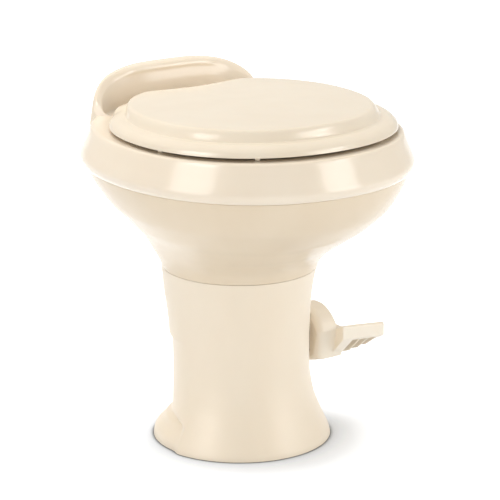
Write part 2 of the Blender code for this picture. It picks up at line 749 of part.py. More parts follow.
def make_inner_bowl():
    loops = []
    flange_share = BOWL_FLANGE_THICK / (RING_TOP_UNDER - BOWL_LOW)
    for turn in even_turns(SHELL_STATIONS):
        inner = [bowl_point(*row, turn) for row in BOWL_SHARES]
        outer = [bowl_point(*row, turn, BOWL_WALL) for row in BOWL_SHARES[1::2]]
        neck = bowl_point(flange_share, 0.0, 0.0, turn, BOWL_WALL + SLIP)
        reach = BOWL_FLANGE_RADIUS - OUTLET_RADIUS
        rim_low = bowl_point(0.0, 0.0, 0.0, turn, reach)
        rim_high = bowl_point(flange_share, 0.0, 0.0, turn, reach)
        loops.append(inner + list(reversed(outer)) + [neck, rim_high, rim_low])
    bowl = add_object("inner_bowl", loft("inner_bowl", loops), plastic("bowl_gloss", BOWL_WHITE, 0.12))
    cuts = []
    for place in bowl_screw_places():
        cuts.append(rod("screw_hole", place - Vector((0, 0, OVERRUN)), place + Vector((0, 0, 2 * OVERRUN)),
                        BOWL_SCREW_RADIUS + FIT, SMALL_SIDES))
    place = nozzle_place()
    cuts.append(rod("nozzle_hole", place - Vector((0, OVERRUN, 0)),
                    place + Vector((0, BOWL_WALL + OVERRUN, 0)), SPIGOT_RADIUS + FIT, SMALL_SIDES))
    shape_with(bowl, "DIFFERENCE", joined("bowl_cuts", cuts))


def bowl_screw_places():
    places = []
    for index in range(4):
        turn = math.pi / 4 + index * math.pi / 2
        places.append(Vector((BOWL_SCREW_CIRCLE * math.sin(turn),
                              PEDESTAL_Y - BOWL_SCREW_CIRCLE * math.cos(turn), BOWL_LOW)))
    return places


def make_bowl_screws():
    steel = plastic("zinc_steel", STEEL, 0.35, 1.0)
    for index, place in enumerate(bowl_screw_places()):
        flange_top = BOWL_FLANGE_THICK + FIT
        low = PLATE_LOW - BOWL_LOW - FIT
        outline = [(low, BOWL_SCREW_RADIUS), (flange_top, BOWL_SCREW_RADIUS), (flange_top, BOWL_SCREW_HEAD),
                   (flange_top + BOWL_SCREW_HEAD_THICK * 0.7, BOWL_SCREW_HEAD),
                   (flange_top + BOWL_SCREW_HEAD_THICK, BOWL_SCREW_HEAD * 0.6)]
        screw = turned_solid("bowl_screw", place, Vector((0, 0, 1)), outline, SMALL_SIDES)
        add_object(f"bowl_screw_{index + 1}", screw, steel)


def shaft_point(x):
    return Vector((x, PEDESTAL_Y, SHAFT_HEIGHT))


def make_valve_housing():
    axis = Vector((0, PEDESTAL_Y, 0))
    reach = min(base_wall_radius(PLATE_TOP, 0.0), base_wall_radius(PLATE_TOP, math.pi)) - 4 * SLIP
    hole = OUTLET_RADIUS + SLIP + SEAL_WIDTH + 2 * SLIP
    bottom = FLOOR_PLATE + FIT
    outline = [(bottom, HOUSING_OUTER), (PLATE_LOW, HOUSING_OUTER), (PLATE_LOW, reach), (PLATE_TOP, reach),
               (PLATE_TOP, hole), (PLATE_LOW, hole), (PLATE_LOW - 2 * SLIP, HOUSING_INNER),
               (bottom, HOUSING_INNER)]
    housing = add_object("valve_housing", turned_ring("valve_housing", axis, Vector((0, 0, 1)), outline, TURNED_SIDES),
                         plastic("nylon", BLACK_NYLON, 0.5))
    cuts = []
    bush = SHAFT_RADIUS + FIT + BUSH_WALL + FIT
    cuts.append(rod("bush_hole", shaft_point(HOUSING_INNER - OVERRUN), shaft_point(HOUSING_OUTER + OVERRUN), bush))
    cuts.append(rod("pin_hole", shaft_point(-HOUSING_INNER + OVERRUN), shaft_point(-HOUSING_OUTER - OVERRUN), bush))
    for place in bowl_screw_places():
        start = Vector((place.x, place.y, PLATE_LOW - OVERRUN))
        cuts.append(rod("screw_hole", start, start + Vector((0, 0, 3 * OVERRUN)),
                        BOWL_SCREW_RADIUS + FIT, SMALL_SIDES))
    cuts.append(rod("plunger_hole", Vector((CAM_X, PEDESTAL_Y, PLATE_LOW - OVERRUN)),
                    Vector((CAM_X, PEDESTAL_Y, PLATE_TOP + OVERRUN)), PLUNGER_RADIUS + SLIP))
    shape_with(housing, "DIFFERENCE", joined("housing_cuts", cuts))


def make_seals():
    rubber = plastic("rubber", SEAL_GREY, 0.8)
    axis = Vector((0, PEDESTAL_Y, 0))
    inner = OUTLET_RADIUS + SLIP
    outer = inner + SEAL_WIDTH
    flange_low = PLATE_TOP + FIT
    outline = [(SEAL_LOW, inner), (SEAL_LOW, outer), (flange_low, outer), (flange_low, outer + SEAL_FLANGE),
               (flange_low + SEAL_THICK, outer + SEAL_FLANGE), (flange_low + SEAL_THICK, inner)]
    add_object("bowl_seal", turned_ring("bowl_seal", axis, Vector((0, 0, 1)), outline, TURNED_SIDES), rubber)
    outer = DRAIN_RADIUS - FIT
    inner = outer - FLOOR_SEAL_WALL
    collar = DRAIN_RADIUS + SEAL_WIDTH
    low = FLOOR_PLATE + FIT
    outline = [(2 * FIT, inner), (2 * FIT, outer), (low, outer), (low, collar), (low + SEAL_THICK, collar),
               (low + SEAL_THICK, inner)]
    add_object("floor_seal", turned_ring("floor_seal", axis, Vector((0, 0, 1)), outline, TURNED_SIDES), rubber)


def make_ball(parent):
    """A spherical cap with two ears that reach down to the shaft, as one curved sheet."""
    centre = shaft_point(0)
    profiles = []
    steps = 4
    for index in range(TURNED_SIDES):
        around = 2 * math.pi * (index + 0.5) / TURNED_SIDES
        limit = BALL_CAP_ANGLE + (BALL_EAR_ANGLE - BALL_CAP_ANGLE) * smooth_share(
            abs(math.cos(around)), 0.86, 0.985)
        ray = Vector((math.cos(around), math.sin(around), 0))
        profile = []
        for step in range(1, steps + 1):
            angle = limit * step / steps
            profile.append(centre + (ray * math.sin(angle) + Vector((0, 0, math.cos(angle)))) * BALL_RADIUS)
        for step in range(steps, 0, -1):
            angle = limit * step / steps
            profile.append(centre + (ray * math.sin(angle) + Vector((0, 0, math.cos(angle))))
                           * (BALL_RADIUS - BALL_WALL))
        profiles.append(profile)
    up = Vector((0, 0, 1))
    mesh = dome("flush_ball", profiles, centre + up * BALL_RADIUS, centre + up * (BALL_RADIUS - BALL_WALL))
    ball = add_object("flush_ball", mesh, plastic("ball_plastic", BOWL_WHITE, 0.3), centre, parent)
    end = BALL_RADIUS - BALL_WALL / 2
    for side in (-1, 1):
        boss = rod("ball_boss", shaft_point(side * (end - BALL_BOSS_LENGTH)), shaft_point(side * end),
                   BALL_BOSS_RADIUS, 16)
        shape_with(ball, "UNION", boss)
    start = end - BALL_BOSS_LENGTH - OVERRUN
    bores = [rod("ball_bore", shaft_point(side * start), shaft_point(side * (BALL_RADIUS + OVERRUN)),
                 SHAFT_RADIUS + FIT) for side in (-1, 1)]
    shape_with(ball, "DIFFERENCE", joined("ball_bores", bores))


def make_shaft(parent):
    steel = plastic("shaft_steel", STEEL, 0.3, 1.0)
    end = HUB_OUTER_X - HUB_WALL - PEDAL_SCREW_POCKET - FIT
    shaft = ring_about("drive_shaft", shaft_point(SHAFT_START), shaft_point(end), SHAFT_RADIUS, SHAFT_BORE)
    add_object("drive_shaft", shaft, steel, shaft_point(0), parent)
    bush_outer = SHAFT_RADIUS + FIT + BUSH_WALL
    outline = [(0, SHAFT_RADIUS), (HOUSING_OUTER + 2 * OVERRUN - SHAFT_START, SHAFT_RADIUS),
               (HOUSING_OUTER + 2 * OVERRUN - SHAFT_START, bush_outer),
               (HOUSING_OUTER + 2.6 * OVERRUN - SHAFT_START, bush_outer)]
    pin = turned_solid("pivot_pin", shaft_point(-SHAFT_START), Vector((-1, 0, 0)), outline)
    add_object("pivot_pin", pin, steel, shaft_point(0), parent)
    nylon = plastic("bush_nylon", HOSE_GREY, 0.5)
    inner = SHAFT_RADIUS + FIT
    bushes = (("shaft_bush_inner", HOUSING_INNER - FIT, HOUSING_OUTER + OVERRUN),
              ("shaft_bush_outer", WAIST_RADIUS - 2 * BASE_WALL, BOSS_FACE - FIT),
              ("pivot_bush", -HOUSING_INNER + FIT, -HOUSING_OUTER - OVERRUN))
    for name, start, finish in bushes:
        add_object(name, ring_about(name, shaft_point(start), shaft_point(finish), bush_outer, inner), nylon)


def make_cam(parent):
    """A cam on the shaft whose radius grows evenly as the pedal goes down."""
    outline = []
    steps = 36
    for index in range(steps):
        around = 2 * math.pi * index / steps
        lift = CAM_LIFT * min(around / PEDAL_TRAVEL, 1.0)
        if around > PEDAL_TRAVEL + 0.5:
            lift = CAM_LIFT * (1 - smooth_share(around, PEDAL_TRAVEL + 0.5, 2 * math.pi - 0.3))
        radius = CAM_RADIUS + lift
        outline.append((PEDESTAL_Y + radius * math.sin(around), SHAFT_HEIGHT + radius * math.cos(around)))
    cam = prism("valve_cam", outline, CAM_X - CAM_WIDTH / 2, CAM_X + CAM_WIDTH / 2)
    cam_item = add_object("valve_cam", cam, plastic("nylon", BLACK_NYLON, 0.5), shaft_point(0), parent)
    bore = rod("cam_bore", shaft_point(CAM_X - CAM_WIDTH), shaft_point(CAM_X + CAM_WIDTH), SHAFT_RADIUS + FIT)
    shape_with(cam_item, "DIFFERENCE", bore)


def hub_outline(inset=0.0):
    """The hub seen along the shaft: round above, with a flat chin in front and a flat sole."""
    radius = HUB_RADIUS - inset
    points = []
    first = math.atan2(HUB_CHIN_TOP, -HUB_CHIN_FRONT)
    last = math.atan2(-HUB_HEEL_LOW, HUB_HEEL_BACK)
    steps = 20
    for index in range(steps + 1):
        around = first + (last - first) * index / steps
        points.append((radius * math.cos(around), radius * math.sin(around)))
    points.append((-HUB_CHIN_BACK + inset, -HUB_CHIN_LOW + inset))
    return [(PEDESTAL_Y + y, SHAFT_HEIGHT + z) for y, z in points]


# along the pad: reach of its nose, height of its top, depth of its underside
PAD_SHARES = [
    (0.00, 1.00, 1.13, 1.00),
    (0.35, 1.00, 1.06, 0.98),
    (0.75, 1.00, 0.95, 0.80),
    (0.94, 0.98, 0.90, 0.66),
    (1.00, 0.88, 0.80, 0.60),
]
PAD_CELLS = 4


def pad_section(share, inset=0.0):
    """The foot pad in section at a share of its length: it rises towards its nose."""
    nose = PAD_NOSE * table_value(PAD_SHARES, share, 1) - inset
    top = PAD_NOSE_TOP * table_value(PAD_SHARES, share, 2) - inset
    low = PAD_HEEL_LOW * table_value(PAD_SHARES, share, 3)
    heel = PAD_HEEL - inset
    heel_top = PAD_HEEL_TOP + inset
    if inset:
        deep = -PAD_HEEL_LOW - OVERRUN
        return [(heel, deep), (heel, -heel_top), (-nose, top - PAD_NOSE_ROUND), (-nose, deep)]
    return [(heel, -max(low, heel_top + PAD_SKIN)), (heel, -heel_top), (PAD_NOSE_ROUND - nose, top),
            (-nose, top - PAD_NOSE_ROUND), (-nose, top - PAD_NOSE_THICK), (-nose * 0.55, -low * 0.5)]


def shaft_outline(points):
    return [(PEDESTAL_Y + y, SHAFT_HEIGHT + z) for y, z in points]


def stack(name, sections):
    """A solid through like sections of (y, z) points, each at its own x."""
    count = len(sections[0][1])
    vertices = [(x, y, z) for x, outline in sections for y, z in outline]
    last = len(vertices) - count
    faces = [tuple(range(count)), tuple(reversed(range(last, last + count)))]
    for level in range(len(sections) - 1):
        for index in range(count):
            following = (index + 1) % count
            low, high = level * count, level * count + count
            faces.append((low + index, high + index, high + following, low + following))
    return mesh_from(vertices, faces, name)


def make_pedal(parent):
    hub = prism("pedal", hub_outline(), HUB_INNER_X, HUB_OUTER_X)
    pedal = add_object("pedal", hub, plastic("pedal_plastic", CREAM, 0.35), shaft_point(0), parent)
    knee = [(PEDESTAL_Y - KNEE_BACK, SHAFT_HEIGHT - HUB_CHIN_LOW - PAD_SKIN),
            (PEDESTAL_Y - HUB_CHIN_BACK + FIT, SHAFT_HEIGHT - HUB_CHIN_LOW),
            (PEDESTAL_Y - HUB_CHIN_FRONT + FIT, SHAFT_HEIGHT + HUB_CHIN_TOP),
            (PEDESTAL_Y - KNEE_BACK, SHAFT_HEIGHT + HUB_CHIN_TOP + FIT)]
    shape_with(pedal, "UNION", prism("pedal_knee", knee, HUB_OUTER_X - HUB_WALL / 2, HUB_OUTER_X + KNEE_LENGTH))
    start = HUB_OUTER_X - HUB_WALL
    sections = [(start + row[0] * (HUB_WALL + PAD_LENGTH), shaft_outline(pad_section(row[0])))
                for row in PAD_SHARES]
    pad = stack("pedal_pad", sections)
    shape_with(pedal, "UNION", pad)
    limit = PEDESTAL_Y - HUB_HOLLOW_FRONT
    outline = [(max(y, limit), z) for y, z in hub_outline(HUB_WALL)]
    kept = [point for index, point in enumerate(outline) if point[0] > limit
            or outline[index - 1][0] > limit or outline[(index + 1) % len(outline)][0] > limit]
    shape_with(pedal, "DIFFERENCE", prism("pedal_hollow", kept, HUB_INNER_X - OVERRUN,
                                          HUB_OUTER_X - HUB_BORE_DEPTH - HUB_WALL))
    back = -HUB_HOLLOW_FRONT - HUB_WALL
    chin = [(back, -HUB_POCKET_LOW), (back, HUB_POCKET_TOP),
            (HUB_WALL + FIT - HUB_CHIN_FRONT, HUB_CHIN_TOP - SLIP),
            (HUB_WALL + FIT - HUB_CHIN_BACK, FIT - HUB_CHIN_LOW), (HUB_WALL + FIT - HUB_CHIN_BACK, -HUB_POCKET_LOW)]
    shape_with(pedal, "DIFFERENCE", prism("pedal_chin_pocket", shaft_outline(chin), HUB_INNER_X + HUB_WALL,
                                          HUB_OUTER_X - 2 * HUB_WALL))
    shape_with(pedal, "DIFFERENCE", rod("pedal_bore", shaft_point(HUB_INNER_X),
                                        shaft_point(HUB_OUTER_X - HUB_WALL - PEDAL_SCREW_POCKET),
                                        SHAFT_RADIUS + FIT))
    shape_with(pedal, "DIFFERENCE", rod("pedal_screw_hole", shaft_point(HUB_INNER_X + OVERRUN),
                                        shaft_point(HUB_OUTER_X), SHAFT_BORE, SMALL_SIDES))
    shape_with(pedal, "DIFFERENCE", rod("pedal_screw_pocket", shaft_point(HUB_OUTER_X - PEDAL_SCREW_POCKET),
                                        shaft_point(HUB_OUTER_X + KNEE_LENGTH), PEDAL_SCREW_HEAD + 2 * FIT))
    start = HUB_OUTER_X + KNEE_LENGTH
    pitch = (HUB_OUTER_X + PAD_LENGTH - start - PAD_RIB) / PAD_CELLS
    pockets = []
    for index in range(PAD_CELLS):
        low_x = start + PAD_RIB + index * pitch
        share = min((low_x + pitch - HUB_OUTER_X) / PAD_LENGTH, 1.0)
        pockets.append(prism("pad_pocket", shaft_outline(pad_section(share, PAD_SKIN)), low_x,
                             low_x + pitch - PAD_RIB))
    shape_with(pedal, "DIFFERENCE", joined("pad_pockets", pockets))
    outline = [(-PEDAL_SCREW_LENGTH, SHAFT_BORE - FIT), (FIT, SHAFT_BORE - FIT), (FIT, PEDAL_SCREW_HEAD),
               (PEDAL_SCREW_THICK * 0.6, PEDAL_SCREW_HEAD), (PEDAL_SCREW_THICK, PEDAL_SCREW_HEAD * 0.7)]
    screw = turned_solid("pedal_screw", shaft_point(HUB_OUTER_X - PEDAL_SCREW_POCKET), Vector((1, 0, 0)),
                         outline, SMALL_SIDES)
    add_object("pedal_screw", screw, plastic("zinc_steel", STEEL, 0.35, 1.0), shaft_point(0), parent)


def make_spring():
    """The cartridge that carries the pedal's return spring, and the coil inside it."""
    start = BOSS_FACE + FIT
    outline = [(0, SHAFT_RADIUS + SLIP), (0, BOSS_RADIUS), (CARTRIDGE_LENGTH, BOSS_RADIUS),
               (CARTRIDGE_LENGTH, BOSS_RADIUS - CARTRIDGE_WALL),
               (CARTRIDGE_WALL, BOSS_RADIUS - CARTRIDGE_WALL), (CARTRIDGE_WALL, SHAFT_RADIUS + SLIP)]
    cartridge = turned_ring("spring_cartridge", shaft_point(start), Vector((1, 0, 0)), outline)
    add_object("spring_cartridge", cartridge, plastic("nylon", BLACK_NYLON, 0.5))
    coil_start = start + CARTRIDGE_WALL + SPRING_WIRE + FIT
    coil_length = CARTRIDGE_LENGTH - CARTRIDGE_WALL - 2 * (SPRING_WIRE + FIT)
    steps = SPRING_TURNS * 12
    vertices, faces = [], []
    for index in range(steps + 1):
        around = 2 * math.pi * SPRING_TURNS * index / steps
        ray = Vector((0, math.cos(around), math.sin(around)))
        place = shaft_point(coil_start + coil_length * index / steps) + ray * SPRING_RADIUS
        for side in range(5):
            angle = 2 * math.pi * side / 5
            vertices.append(place + (ray * math.cos(angle) + Vector((1, 0, 0)) * math.sin(angle)) * SPRING_WIRE)
    for index in range(steps):
        for side in range(5):
            following = (side + 1) % 5
            faces.append((index * 5 + side, index * 5 + following, (index + 1) * 5 + following,
                          (index + 1) * 5 + side))
    faces.append(tuple(range(5)))
    faces.append(tuple(steps * 5 + side for side in range(5)))
    coil = mesh_from(vertices, faces, "return_spring")
    add_object("return_spring", coil, plastic("spring_steel", STEEL, 0.3, 1.0))


def valve_point(rise):
    return Vector((CAM_X, PEDESTAL_Y, PLATE_TOP + FIT + rise))


def make_water_valve():
    up = Vector((0, 0, 1))
    nylon = plastic("nylon", BLACK_NYLON, 0.5)
    neck = PLUNGER_RADIUS + SLIP
    bore = VALVE_RADIUS - VALVE_WALL
    low = VALVE_WALL
    spigot = HOSE_RADIUS
    outline = [(0, neck), (0, VALVE_RADIUS), (VALVE_LENGTH, VALVE_RADIUS), (VALVE_LENGTH, bore),
               (low, bore), (low, neck)]
    body = add_object("water_valve", turned_ring("water_valve", valve_point(0), up, outline), nylon)
    port = inlet_axis()
    shape_with(body, "DIFFERENCE", rod("valve_port", port, port + Vector((0, VALVE_RADIUS + OVERRUN, 0)),
                                       INLET_BORE))
    cap = [(0, SPIGOT_BORE), (0, VALVE_RADIUS), (VALVE_CAP_THICK, VALVE_RADIUS),
           (VALVE_CAP_THICK, SPIGOT_RADIUS), (VALVE_CAP_THICK + SPIGOT_LENGTH, SPIGOT_RADIUS),
           (VALVE_CAP_THICK + SPIGOT_LENGTH, SPIGOT_BORE)]
    add_object("valve_cap", turned_ring("valve_cap", valve_point(VALVE_LENGTH + FIT), up, cap), nylon)
    piston_low = VALVE_LENGTH - PISTON_TRAVEL - PISTON_THICK - FIT
    piston = ring_about("valve_piston", valve_point(piston_low), valve_point(piston_low + PISTON_THICK),
                        bore - FIT, SPIGOT_BORE)
    add_object("valve_piston", piston, plastic("ball_plastic", BOWL_WHITE, 0.3), valve_point(piston_low))
    plunger_top = piston_low - CAM_LIFT - 2 * FIT
    tip = SHAFT_HEIGHT + CAM_RADIUS + PLUNGER_GAP - valve_point(0).z
    outline = [(tip, PLUNGER_TIP), (tip + 2 * PLUNGER_RADIUS, PLUNGER_RADIUS), (plunger_top, PLUNGER_RADIUS)]
    plunger = turned_solid("valve_plunger", valve_point(0), up, outline, SMALL_SIDES)
    add_object("valve_plunger", plunger, plastic("shaft_steel", STEEL, 0.3, 1.0), valve_point(0))
    inlet = ring_about("inlet_fitting", port + Vector((0, VALVE_RADIUS + FIT, 0)),
                       port + Vector((0, INLET_REACH, 0)), INLET_RADIUS, INLET_BORE)
    add_object("inlet_fitting", inlet, nylon)


def breaker_point(height):
    return Vector((0, BREAKER_Y, height))


def make_vacuum_breaker():
    nylon = plastic("nylon", BLACK_NYLON, 0.5)
    up = Vector((0, 0, 1))
    length = BREAKER_HIGH - BREAKER_LOW
    outline = [(-SPIGOT_LENGTH, SPIGOT_BORE), (-SPIGOT_LENGTH, SPIGOT_RADIUS), (0, SPIGOT_RADIUS),
               (0, BREAKER_RADIUS), (length, BREAKER_RADIUS), (length, BREAKER_RADIUS - BREAKER_WALL),
               (BREAKER_WALL, BREAKER_RADIUS - BREAKER_WALL), (BREAKER_WALL, SPIGOT_BORE)]
    mesh = turned_ring("vacuum_breaker", breaker_point(BREAKER_LOW), up, outline)
    body = add_object("vacuum_breaker", mesh, nylon)
    side = breaker_point(BREAKER_LOW + BREAKER_RADIUS)
    ahead = Vector((0, -1, 0))
    spigot = rod("breaker_spigot", side + ahead * (BREAKER_RADIUS - BREAKER_WALL / 2),
                 side + ahead * (BREAKER_RADIUS + SPIGOT_LENGTH), SPIGOT_RADIUS)
    shape_with(body, "UNION", spigot)
    shape_with(body, "DIFFERENCE", rod("breaker_bore", side + ahead * BREAKER_WALL,
                                       side + ahead * (BREAKER_RADIUS + SPIGOT_LENGTH + OVERRUN), SPIGOT_BORE))
    cap = [(0, SPIGOT_BORE), (0, BREAKER_RADIUS), (BREAKER_CAP_THICK, BREAKER_RADIUS),
           (BREAKER_CAP_THICK, SPIGOT_BORE)]
    add_object("breaker_cap", turned_ring("breaker_cap", breaker_point(BREAKER_HIGH + FIT), up, cap), nylon)
    low = BREAKER_HIGH - FLOAT_TRAVEL - FLOAT_THICK - FIT
    disc = rod("breaker_float", breaker_point(low), breaker_point(low + FLOAT_THICK),
               BREAKER_RADIUS - BREAKER_WALL - FIT)
    add_object("breaker_float", disc, plastic("ball_plastic", BOWL_WHITE, 0.3), breaker_point(low))


def hose_path(points, steps):
    """A smooth path through the points that is straight over its first and last spans."""
    inner = points[1:-1]
    slopes = [(points[1] - points[0]) * 1.5]
    slopes += [(inner[index + 1] - inner[index - 1]) / 2 for index in range(1, len(inner) - 1)]
    slopes.append((points[-1] - points[-2]) * 1.5)
    path = [points[0]]
    for span in range(len(inner) - 1):
        for step in range(steps):
            t = step / steps
            path.append(inner[span] * (2 * t ** 3 - 3 * t ** 2 + 1) + slopes[span] * (t ** 3 - 2 * t ** 2 + t)
                        + inner[span + 1] * (3 * t ** 2 - 2 * t ** 3) + slopes[span + 1] * (t ** 3 - t ** 2))
    return path + [points[-2], points[-1]]


def make_hose(name, points, steps, material):
    """A hose with a bore and square ends."""
    path = hose_path(points, steps)
    across = frame_across((path[1] - path[0]).normalized())[0]
    frames = []
    for index, place in enumerate(path):
        before = (place - path[index - 1]).normalized() if index else (path[1] - place).normalized()
        after = (path[index + 1] - place).normalized() if index < len(path) - 1 else before
        along = (before + after).normalized()
        if index in (0, 1):
            along = (path[1] - path[0]).normalized()
        if index >= len(path) - 2:
            along = (path[-1] - path[-2]).normalized()
        across = (across - along * across.dot(along)).normalized()
        frames.append((place, across.copy(), along.cross(across)))
    loops = []
    for side in range(HOSE_SIDES):
        turn = 2 * math.pi * side / HOSE_SIDES
        loop = [place + (a * math.cos(turn) + b * math.sin(turn)) * HOSE_RADIUS for place, a, b in frames]
        loop += [place + (a * math.cos(turn) + b * math.sin(turn)) * HOSE_BORE
                 for place, a, b in reversed(frames)]
        loops.append(loop)
    add_object(name, loft(name, loops), material)


def between_walls(height, turn):
    """The middle of the space between the inner bowl and the bowl cover."""
    bowl_rise = (height - BOWL_LOW) / (RING_TOP_UNDER - FIT - BOWL_LOW)
    inner = bowl_point(bowl_rise, table_value(BOWL_SHARES, bowl_rise, 1),
                       table_value(BOWL_SHARES, bowl_rise, 2), turn, BOWL_WALL)
    cover_rise = (height - COLLAR_HEIGHT) / (SEAM_HEIGHT - FIT - COLLAR_HEIGHT)
    row = [table_value(COVER_SHARES, cover_rise, column) for column in (1, 2, 3)]
    outer = cover_point(cover_rise, *row, turn)
    return (inner + outer) / 2


def make_clamp(name, start, direction):
    clamp = ring_about(name, start, start + direction * CLAMP_WIDTH, HOSE_RADIUS + FIT + CLAMP_THICK,
                       HOSE_RADIUS + FIT)
    add_object(name, clamp, plastic("zinc_steel", STEEL, 0.35, 1.0))


def make_hoses():
    rubber = plastic("hose_rubber", HOSE_GREY, 0.6)
    up = Vector((0, 0, 1))
    start = valve_point(VALVE_LENGTH + VALVE_CAP_THICK + 2 * FIT)
    end = breaker_point(BREAKER_LOW - FIT)
    run = Vector((0, 0, SPIGOT_LENGTH))
    turn = math.radians(97)
    radius = COLLAR_RADIUS - SHELL_WALL - SLIP - BASE_WALL - HOSE_RADIUS - OVERRUN
    neck = Vector((radius * math.sin(turn), PEDESTAL_Y - radius * math.cos(turn), COLLAR_HEIGHT + TONGUE_RISE))
    rise = SEAM_HEIGHT - COLLAR_HEIGHT
    points = [start, start + run, neck,
              between_walls(COLLAR_HEIGHT + 0.42 * rise, math.radians(117)),
              between_walls(COLLAR_HEIGHT + 0.80 * rise, math.radians(145)),
              end - run, end]
    make_hose("supply_hose", points, 3, rubber)
    make_clamp("hose_clamp_1", start + up * CLAMP_WIDTH * 0.4, up)
    make_clamp("hose_clamp_2", end - up * CLAMP_WIDTH * 1.4, up)
    back = Vector((0, 1, 0))
    start = breaker_point(BREAKER_LOW + BREAKER_RADIUS) - back * (BREAKER_RADIUS + FIT)
    nozzle = nozzle_place() + back * (BOWL_WALL + NOZZLE_FLANGE * 0.4)
    points = [start, start - back * SPIGOT_LENGTH, nozzle + back * SPIGOT_LENGTH, nozzle]
    make_hose("wash_hose", points, 3, rubber)
    make_clamp("hose_clamp_3", start - back * CLAMP_WIDTH * 1.4, back)
    make_clamp("hose_clamp_4", nozzle + back * CLAMP_WIDTH * 0.4, back)
    place = nozzle_place()
    flange = NOZZLE_FLANGE
    outline = [(-2 * BOWL_WALL, SPIGOT_BORE), (-2 * BOWL_WALL, SPIGOT_RADIUS), (-2 * FIT - BOWL_WALL / 2, SPIGOT_RADIUS),
               (BOWL_WALL + 2 * FIT, SPIGOT_RADIUS), (BOWL_WALL + 2 * FIT, flange),
               (BOWL_WALL + flange * 0.3, flange), (BOWL_WALL + flange * 0.3, SPIGOT_RADIUS),
               (BOWL_WALL + SPIGOT_LENGTH, SPIGOT_RADIUS), (BOWL_WALL + SPIGOT_LENGTH, SPIGOT_BORE)]
    add_object("rim_nozzle", turned_ring("rim_nozzle", place, back, outline, SMALL_SIDES),
               plastic("nylon", BLACK_NYLON, 0.5))


def lid_outline(half_width, half_depth, centre_y, rear, height, turn):
    flat = plan_point(half_width, half_depth, centre_y, turn)
    y = soft_limit(flat.y, rear, LID_REAR_SOFTNESS)
    return Vector((flat.x, y, height))


# lower tier of the lid: share from edge to ledge across, share of the rise
TIER_SHARES = [(0.00, 0.00), (0.02, 0.16), (0.12, 0.45), (0.34, 0.74), (0.64, 0.93), (0.97, 1.00)]


# rows of the sloped step and the plateau: share from ledge to plateau edge across, share of the rise
STEP_SHARES = [(0.10, 0.10), (0.86, 0.88)]
# rows of the plateau: share of its own size, share of the crown
TOP_SHARES = [(0.965, 0.10), (0.62, 0.62)]


def lid_edge_height(turn):
    """The lid's lower edge, lifted behind so that it clears the hinge."""
    flat = plan_point(LID_HALF_WIDTH, LID_HALF_DEPTH, LID_Y, turn)
    lift = smooth_share(flat.y, SEAT_REAR_Y - LID_REAR_LIFT * 2, SEAT_REAR_Y)
    return LID_EDGE_HEIGHT + LID_REAR_LIFT * lift


def lid_top_rear(turn):
    flat = plan_point(LID_TOP_HALF_WIDTH, LID_TOP_HALF_DEPTH, LID_TOP_Y, turn)
    return LID_TOP_REAR_Y + LID_TOP_REAR_CURL * (flat.x / LID_TOP_CURL_HALF) ** 2


def lid_profile(turn):
    """The lid's upper skin at one station, from its lower edge up and in towards the middle."""
    edge_z = lid_edge_height(turn)
    points = []
    for across, rise in TIER_SHARES:
        width = LID_HALF_WIDTH + across * (LID_LEDGE_HALF_WIDTH - LID_HALF_WIDTH)
        depth = LID_HALF_DEPTH + across * (LID_LEDGE_HALF_DEPTH - LID_HALF_DEPTH)
        centre = LID_Y + across * (LID_LEDGE_Y - LID_Y)
        rear = LID_REAR_Y + across * (LID_LEDGE_REAR_Y - LID_REAR_Y)
        points.append(lid_outline(width, depth, centre, rear, edge_z + rise * (LID_LEDGE_HEIGHT - edge_z), turn))
    top_rear = lid_top_rear(turn)
    for across, rise in STEP_SHARES:
        width = LID_LEDGE_HALF_WIDTH + across * (LID_TOP_HALF_WIDTH - LID_LEDGE_HALF_WIDTH)
        depth = LID_LEDGE_HALF_DEPTH + across * (LID_TOP_HALF_DEPTH - LID_LEDGE_HALF_DEPTH)
        centre = LID_LEDGE_Y + across * (LID_TOP_Y - LID_LEDGE_Y)
        ledge_rear = LID_LEDGE_REAR_Y + top_rear - LID_TOP_REAR_Y
        rear = min(ledge_rear, LID_REAR_Y - 2 * LID_WALL)
        rear = rear + across * (min(top_rear, rear - 2 * LID_WALL) - rear)
        height = LID_LEDGE_HEIGHT + rise * (LID_TOP_HEIGHT - LID_LEDGE_HEIGHT)
        points.append(lid_outline(width, depth, centre, rear, height, turn))
    corner = lid_outline(LID_TOP_HALF_WIDTH, LID_TOP_HALF_DEPTH, LID_TOP_Y,
                         min(top_rear, LID_REAR_Y - 4 * LID_WALL), LID_TOP_HEIGHT, turn)
    for size, crown in TOP_SHARES:
        spot = Vector((0, LID_TOP_Y, LID_TOP_HEIGHT)).lerp(corner, size)
        spot.z = LID_TOP_HEIGHT + crown * LID_CROWN
        points.append(spot)
    return points


def hinge_point(x):
    return Vector((x, HINGE_Y, HINGE_HEIGHT))


def hinge_lug(name, x, width, front, back, low, high):
    """A barrel on the hinge line with an arm to the piece it carries."""
    barrel = rod(name, hinge_point(x - width / 2), hinge_point(x + width / 2), HINGE_BARREL)
    arm = block(name + "_arm", (x - width / 2, front, low), (x + width / 2, back, high))
    return barrel, arm


